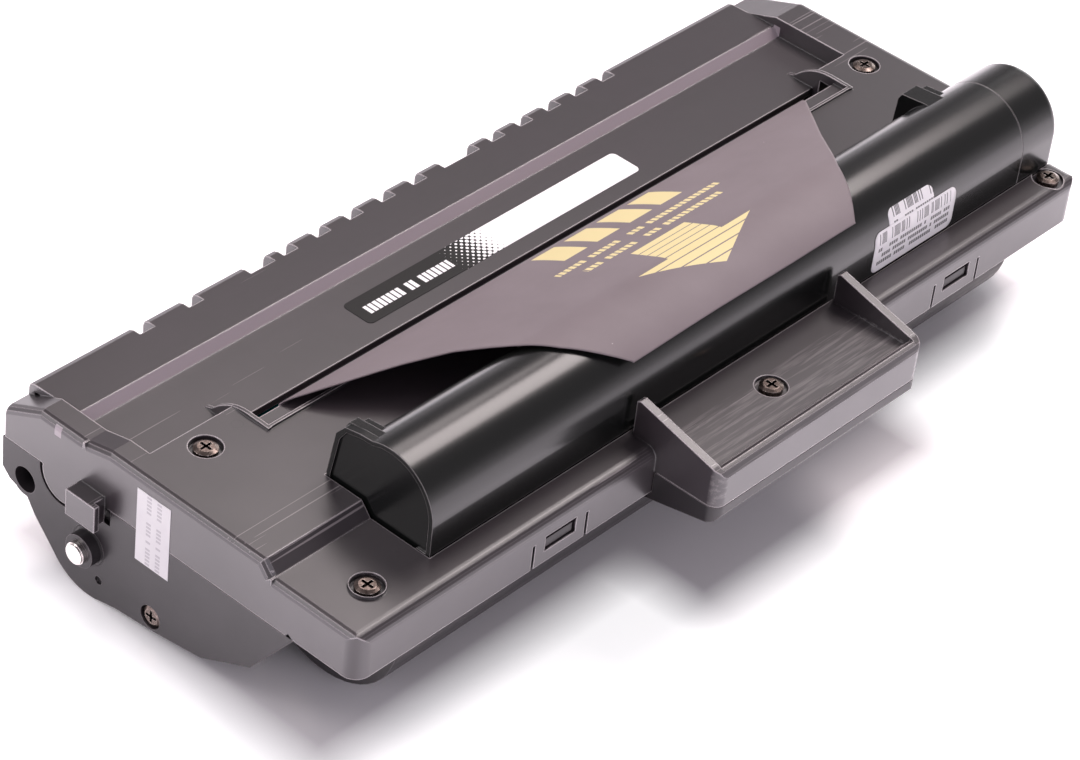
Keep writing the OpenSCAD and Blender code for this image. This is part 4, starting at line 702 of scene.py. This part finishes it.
@dataclass
class HopperLabel:
    """A paper label wrapped on the hopper's front: up its flat wall, then round its top.

    Its outline is a rectangle with round corners: at each height the half width is shortened by what
    the corner's circle takes away.
    """

    datum: Datum
    name: str
    node: str
    left: float
    right: float
    foot: float
    height: float
    lift: float = 0.08
    corner: float = 2.2
    thickness: float = 0.07
    radius: float = 15.0
    axis: tuple[float, float] = (24.7, 22.3)

    def wrapped(self, x: np.ndarray, up: np.ndarray) -> np.ndarray:
        """Point at a distance up the label: straight up to the axis height, then round the axis."""
        r = self.radius + self.lift
        wall = self.axis[1] - self.foot
        turn = np.maximum(up - wall, 0.0) / r
        y = self.axis[0] - r * np.cos(turn)
        z = np.where(up < wall, self.foot + up, self.axis[1] + r * np.sin(turn))
        return np.stack([x, y, z], axis=-1)

    def build(self) -> bpy.types.Object:
        """Builds the label as a grid with round corners and a paper's thickness."""
        up = np.concatenate([[0.0], self.height * 0.5 * (1 - np.cos(np.linspace(0.04, math.pi - 0.04, 46))),
                             [self.height]])
        near_end = np.maximum(self.corner - np.minimum(up, self.height - up), 0.0)
        cut = self.corner - np.sqrt(np.maximum(self.corner ** 2 - near_end ** 2, 0.0))
        share = np.linspace(0, 1, 30)
        width = self.right - self.left - 2 * cut
        x = self.left + cut[:, None] + width[:, None] * share[None, :]
        rows = np.repeat(up[:, None], share.size, axis=1)
        points = self.datum.place(self.wrapped(x, rows))
        uv = np.stack([x - self.left, rows], axis=-1) * MM
        label = surface_from_grid(self.name, points[:, ::-1], uv[:, ::-1])
        wall = label.modifiers.new("thickness", "SOLIDIFY")
        wall.thickness = self.thickness * MM
        wall.offset = -1.0
        dress(label, PAPER_BARCODE)
        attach(label, HOUSING)
        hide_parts(self.node)
        return label


@dataclass
class FlatLabels:
    """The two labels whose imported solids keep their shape: the one on the strip and the one on the end."""

    def dress(self) -> None:
        """Prints both labels from their own boxes."""
        low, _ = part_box("plate_label")
        strip = HalftoneLabel("halftone_label", "fdfcfd", "f5f3f5", 0.5, 0.04, 20.0, 0.5, 0.002, ior=1.4,
                              edge_radius=0.05, left=low[0], low=low[1])
        dress(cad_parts["plate_label"], strip)
        low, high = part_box("end_sticker")
        end = DashLabel("dash_label", "e4e2e3", "dad7da", 0.45, 0.04, 12.0, 0.5, 0.003,
                        edge_radius=0.05, middle_y=(low[1] + high[1]) / 2)
        dress(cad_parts["end_sticker"], end)


@dataclass
class Studio:
    """Pale table, pale surroundings, soft lamps, and the camera of the photograph."""

    datum: Datum
    eye: tuple[float, float, float] = (-495.82, -427.15, 605.99)
    forward: tuple[float, float, float] = (0.62305, 0.48293, -0.61530)
    up: tuple[float, float, float] = (0.40792, 0.47058, 0.78241)
    focal_pixels: float = 3830.0
    picture_width: float = 1080.0
    sensor: float = 36.0
    glare: float = 1.25
    ambient: float = 0.42
    overhead: float = 0.3
    horizon: float = 0.03
    fall: float = 2.6
    # Boxes, in millimetres from the corner, of painted shadow on the floor: round the body and under the handle.
    painted_shadow_boxes: tuple[tuple[float, float, float, float], ...] = ((5.0, 14.0, 286.0, 118.0), (118.0, -12.0, 204.0, 20.0))
    painted_reflection_shade_inset: float = 25.0

    def camera(self) -> None:
        """Places the camera as solved for the picture: focal length in sensor units, no shift."""
        data = bpy.data.cameras.new("camera")
        data.sensor_width = self.sensor
        data.lens = self.focal_pixels / self.picture_width * self.sensor
        data.clip_end = 20.0
        eye = bpy.data.objects.new("camera", data)
        ahead = Vector(self.forward).normalized()
        right = ahead.cross(Vector(self.up)).normalized()
        over = right.cross(ahead)
        turn = Matrix((right, over, -ahead)).transposed().to_4x4()
        eye.matrix_world = Matrix.Translation(Vector(self.datum.place(np.array(self.eye)))) @ turn
        bpy.context.scene.collection.objects.link(eye)
        bpy.context.scene.camera = eye

    def table(self) -> None:
        """A wide flat table top under the cartridge, with painted shadow round the cartridge and under its handle.
        """
        low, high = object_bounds()
        span = np.linspace(-3.0, 3.0, 3)
        x, y = np.meshgrid(span, span, indexing="ij")
        top = surface_from_grid("table", np.stack([x, y, np.zeros_like(x)], axis=-1))
        painted_shadow_boxes = []
        for x0, y0, x1, y1 in self.painted_shadow_boxes:
            corners = self.datum.place(np.array([[x0, y0, 0.0], [x1, y1, 0.0]]))
            painted_shadow_boxes.append((float(corners[0, 0]), float(corners[0, 1]), float(corners[1, 0]), float(corners[1, 1])))
        # Painted shade in reflections: over the cartridge's footprint, from this far behind its front.
        dim = (low[0], low[1] + self.painted_reflection_shade_inset * MM, high[0], high[1])
        finish = FloorFinish("white_acrylic", "faf8fa", "f7f5f8", 0.3, 0.03, 400.0, 6.0, 0.0, edge_radius=0.1,
                             metallic=0.3, painted_shadow_boxes=tuple(painted_shadow_boxes), painted_reflection_shade=tuple(float(v) for v in dim))
        dress(top, finish)
        top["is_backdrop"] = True

    def surroundings(self) -> None:
        """Pale surroundings: white to the camera, softer as light.

        In a reflection they are white at the horizon and darken upwards, as a white sweep in a dim room does.
        """
        world = bpy.data.worlds.new("surroundings")
        bpy.context.scene.world = world
        world.use_nodes = True
        tree = world.node_tree
        tree.nodes.clear()
        path = add_node(tree, "ShaderNodeLightPath")
        towards = add_node(tree, "ShaderNodeTexCoord").outputs["Generated"]
        height = add_node(tree, "ShaderNodeSeparateXYZ", {0: towards}).outputs[2]
        dusk = calc(tree, "MULTIPLY_ADD", height, -self.fall, 1.0 + self.fall * self.horizon, clamp=True)
        mirrored = calc(tree, "MAXIMUM", calc(tree, "MULTIPLY", dusk, self.glare), self.overhead)
        mirror = calc(tree, "ADD", path.outputs["Is Glossy Ray"], path.outputs["Is Transmission Ray"], clamp=True)
        strength = calc(tree, "ADD", self.ambient, calc(tree, "MULTIPLY", mirror,
                                                         calc(tree, "SUBTRACT", mirrored, self.ambient)))
        strength = calc(tree, "MAXIMUM", strength, path.outputs["Is Camera Ray"])
        colour = blend_colours(tree, path.outputs["Is Camera Ray"], linear("fff7fd"), linear("ffffff"))
        ground = add_node(tree, "ShaderNodeBackground", {"Color": colour, "Strength": strength})
        add_node(tree, "ShaderNodeOutputWorld", {"Surface": ground.outputs[0]})

    def lamp(self, name: str, direction: tuple[float, float, float], distance: float,
             size: tuple[float, float], power: float, tint: str = "ffffff") -> None:
        """A rectangular soft lamp at a distance from the cartridge, turned to face it."""
        data = bpy.data.lights.new(name, "AREA")
        data.shape = "RECTANGLE"
        data.size, data.size_y = size
        data.energy = power
        data.color = linear(tint)[:3]
        lamp = bpy.data.objects.new(name, data)
        away = Vector(direction).normalized()
        lamp.rotation_mode = "QUATERNION"
        lamp.rotation_quaternion = away.to_track_quat("Z", "Y")
        lamp.location = away * distance
        bpy.context.scene.collection.objects.link(lamp)

    def build(self) -> None:
        """Sets up the whole studio."""
        self.camera()
        self.table()
        self.surroundings()
        self.lamp("key_softbox", (0.56, 0.02, 0.85), 1.03, (0.42, 0.42), 5.2, "fff4f3")
        self.lamp("rear_softbox", (0.33, 0.36, 0.74), 0.91, (0.35, 0.35), 1.6, "fff4f3")
        self.lamp("high_fill", (-0.58, 0.47, 0.64), 1.3, (0.6, 0.6), 5.0, "fff8fa")
        self.lamp("left_softbox", (-0.95, 0.1, 0.35), 1.1, (0.7, 0.5), 2.2, "f8f2ff")
        self.lamp("front_softbox", (-0.25, -0.9, 0.45), 1.3, (0.9, 0.6), 4.0, "f8f2ff")
        self.lamp("right_softbox", (0.95, 0.2, 0.3), 1.3, (0.6, 0.6), 2.5)
        bpy.context.scene.view_settings.view_transform = "Standard"


def main() -> None:
    """Builds every piece in order and reports each."""
    logging.basicConfig(level=logging.INFO, format="%(name)s: %(message)s")
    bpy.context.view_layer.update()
    datum = Datum()
    for node, finish in NODE_FINISHES.items():
        dress(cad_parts[node], finish)
    TopCover(datum).dress()
    FlatLabels().dress()
    pieces = [
        ProtectiveSheet(datum).build(),
        HopperLabel(datum, "rear_barcode_paper", "inner_barcode_label", 209.6, 229.0, 20.0, 11.4, lift=0.03).build(),
        HopperLabel(datum, "front_barcode_paper", "barcode_label", 203.2, 238.4, 14.2, 12.8, lift=0.14).build(),
    ]
    for piece in pieces:
        LOG.info("%s: %d faces", piece.name, len(piece.data.polygons))
    Studio(datum).build()


if __name__ == "__main__":
    main()
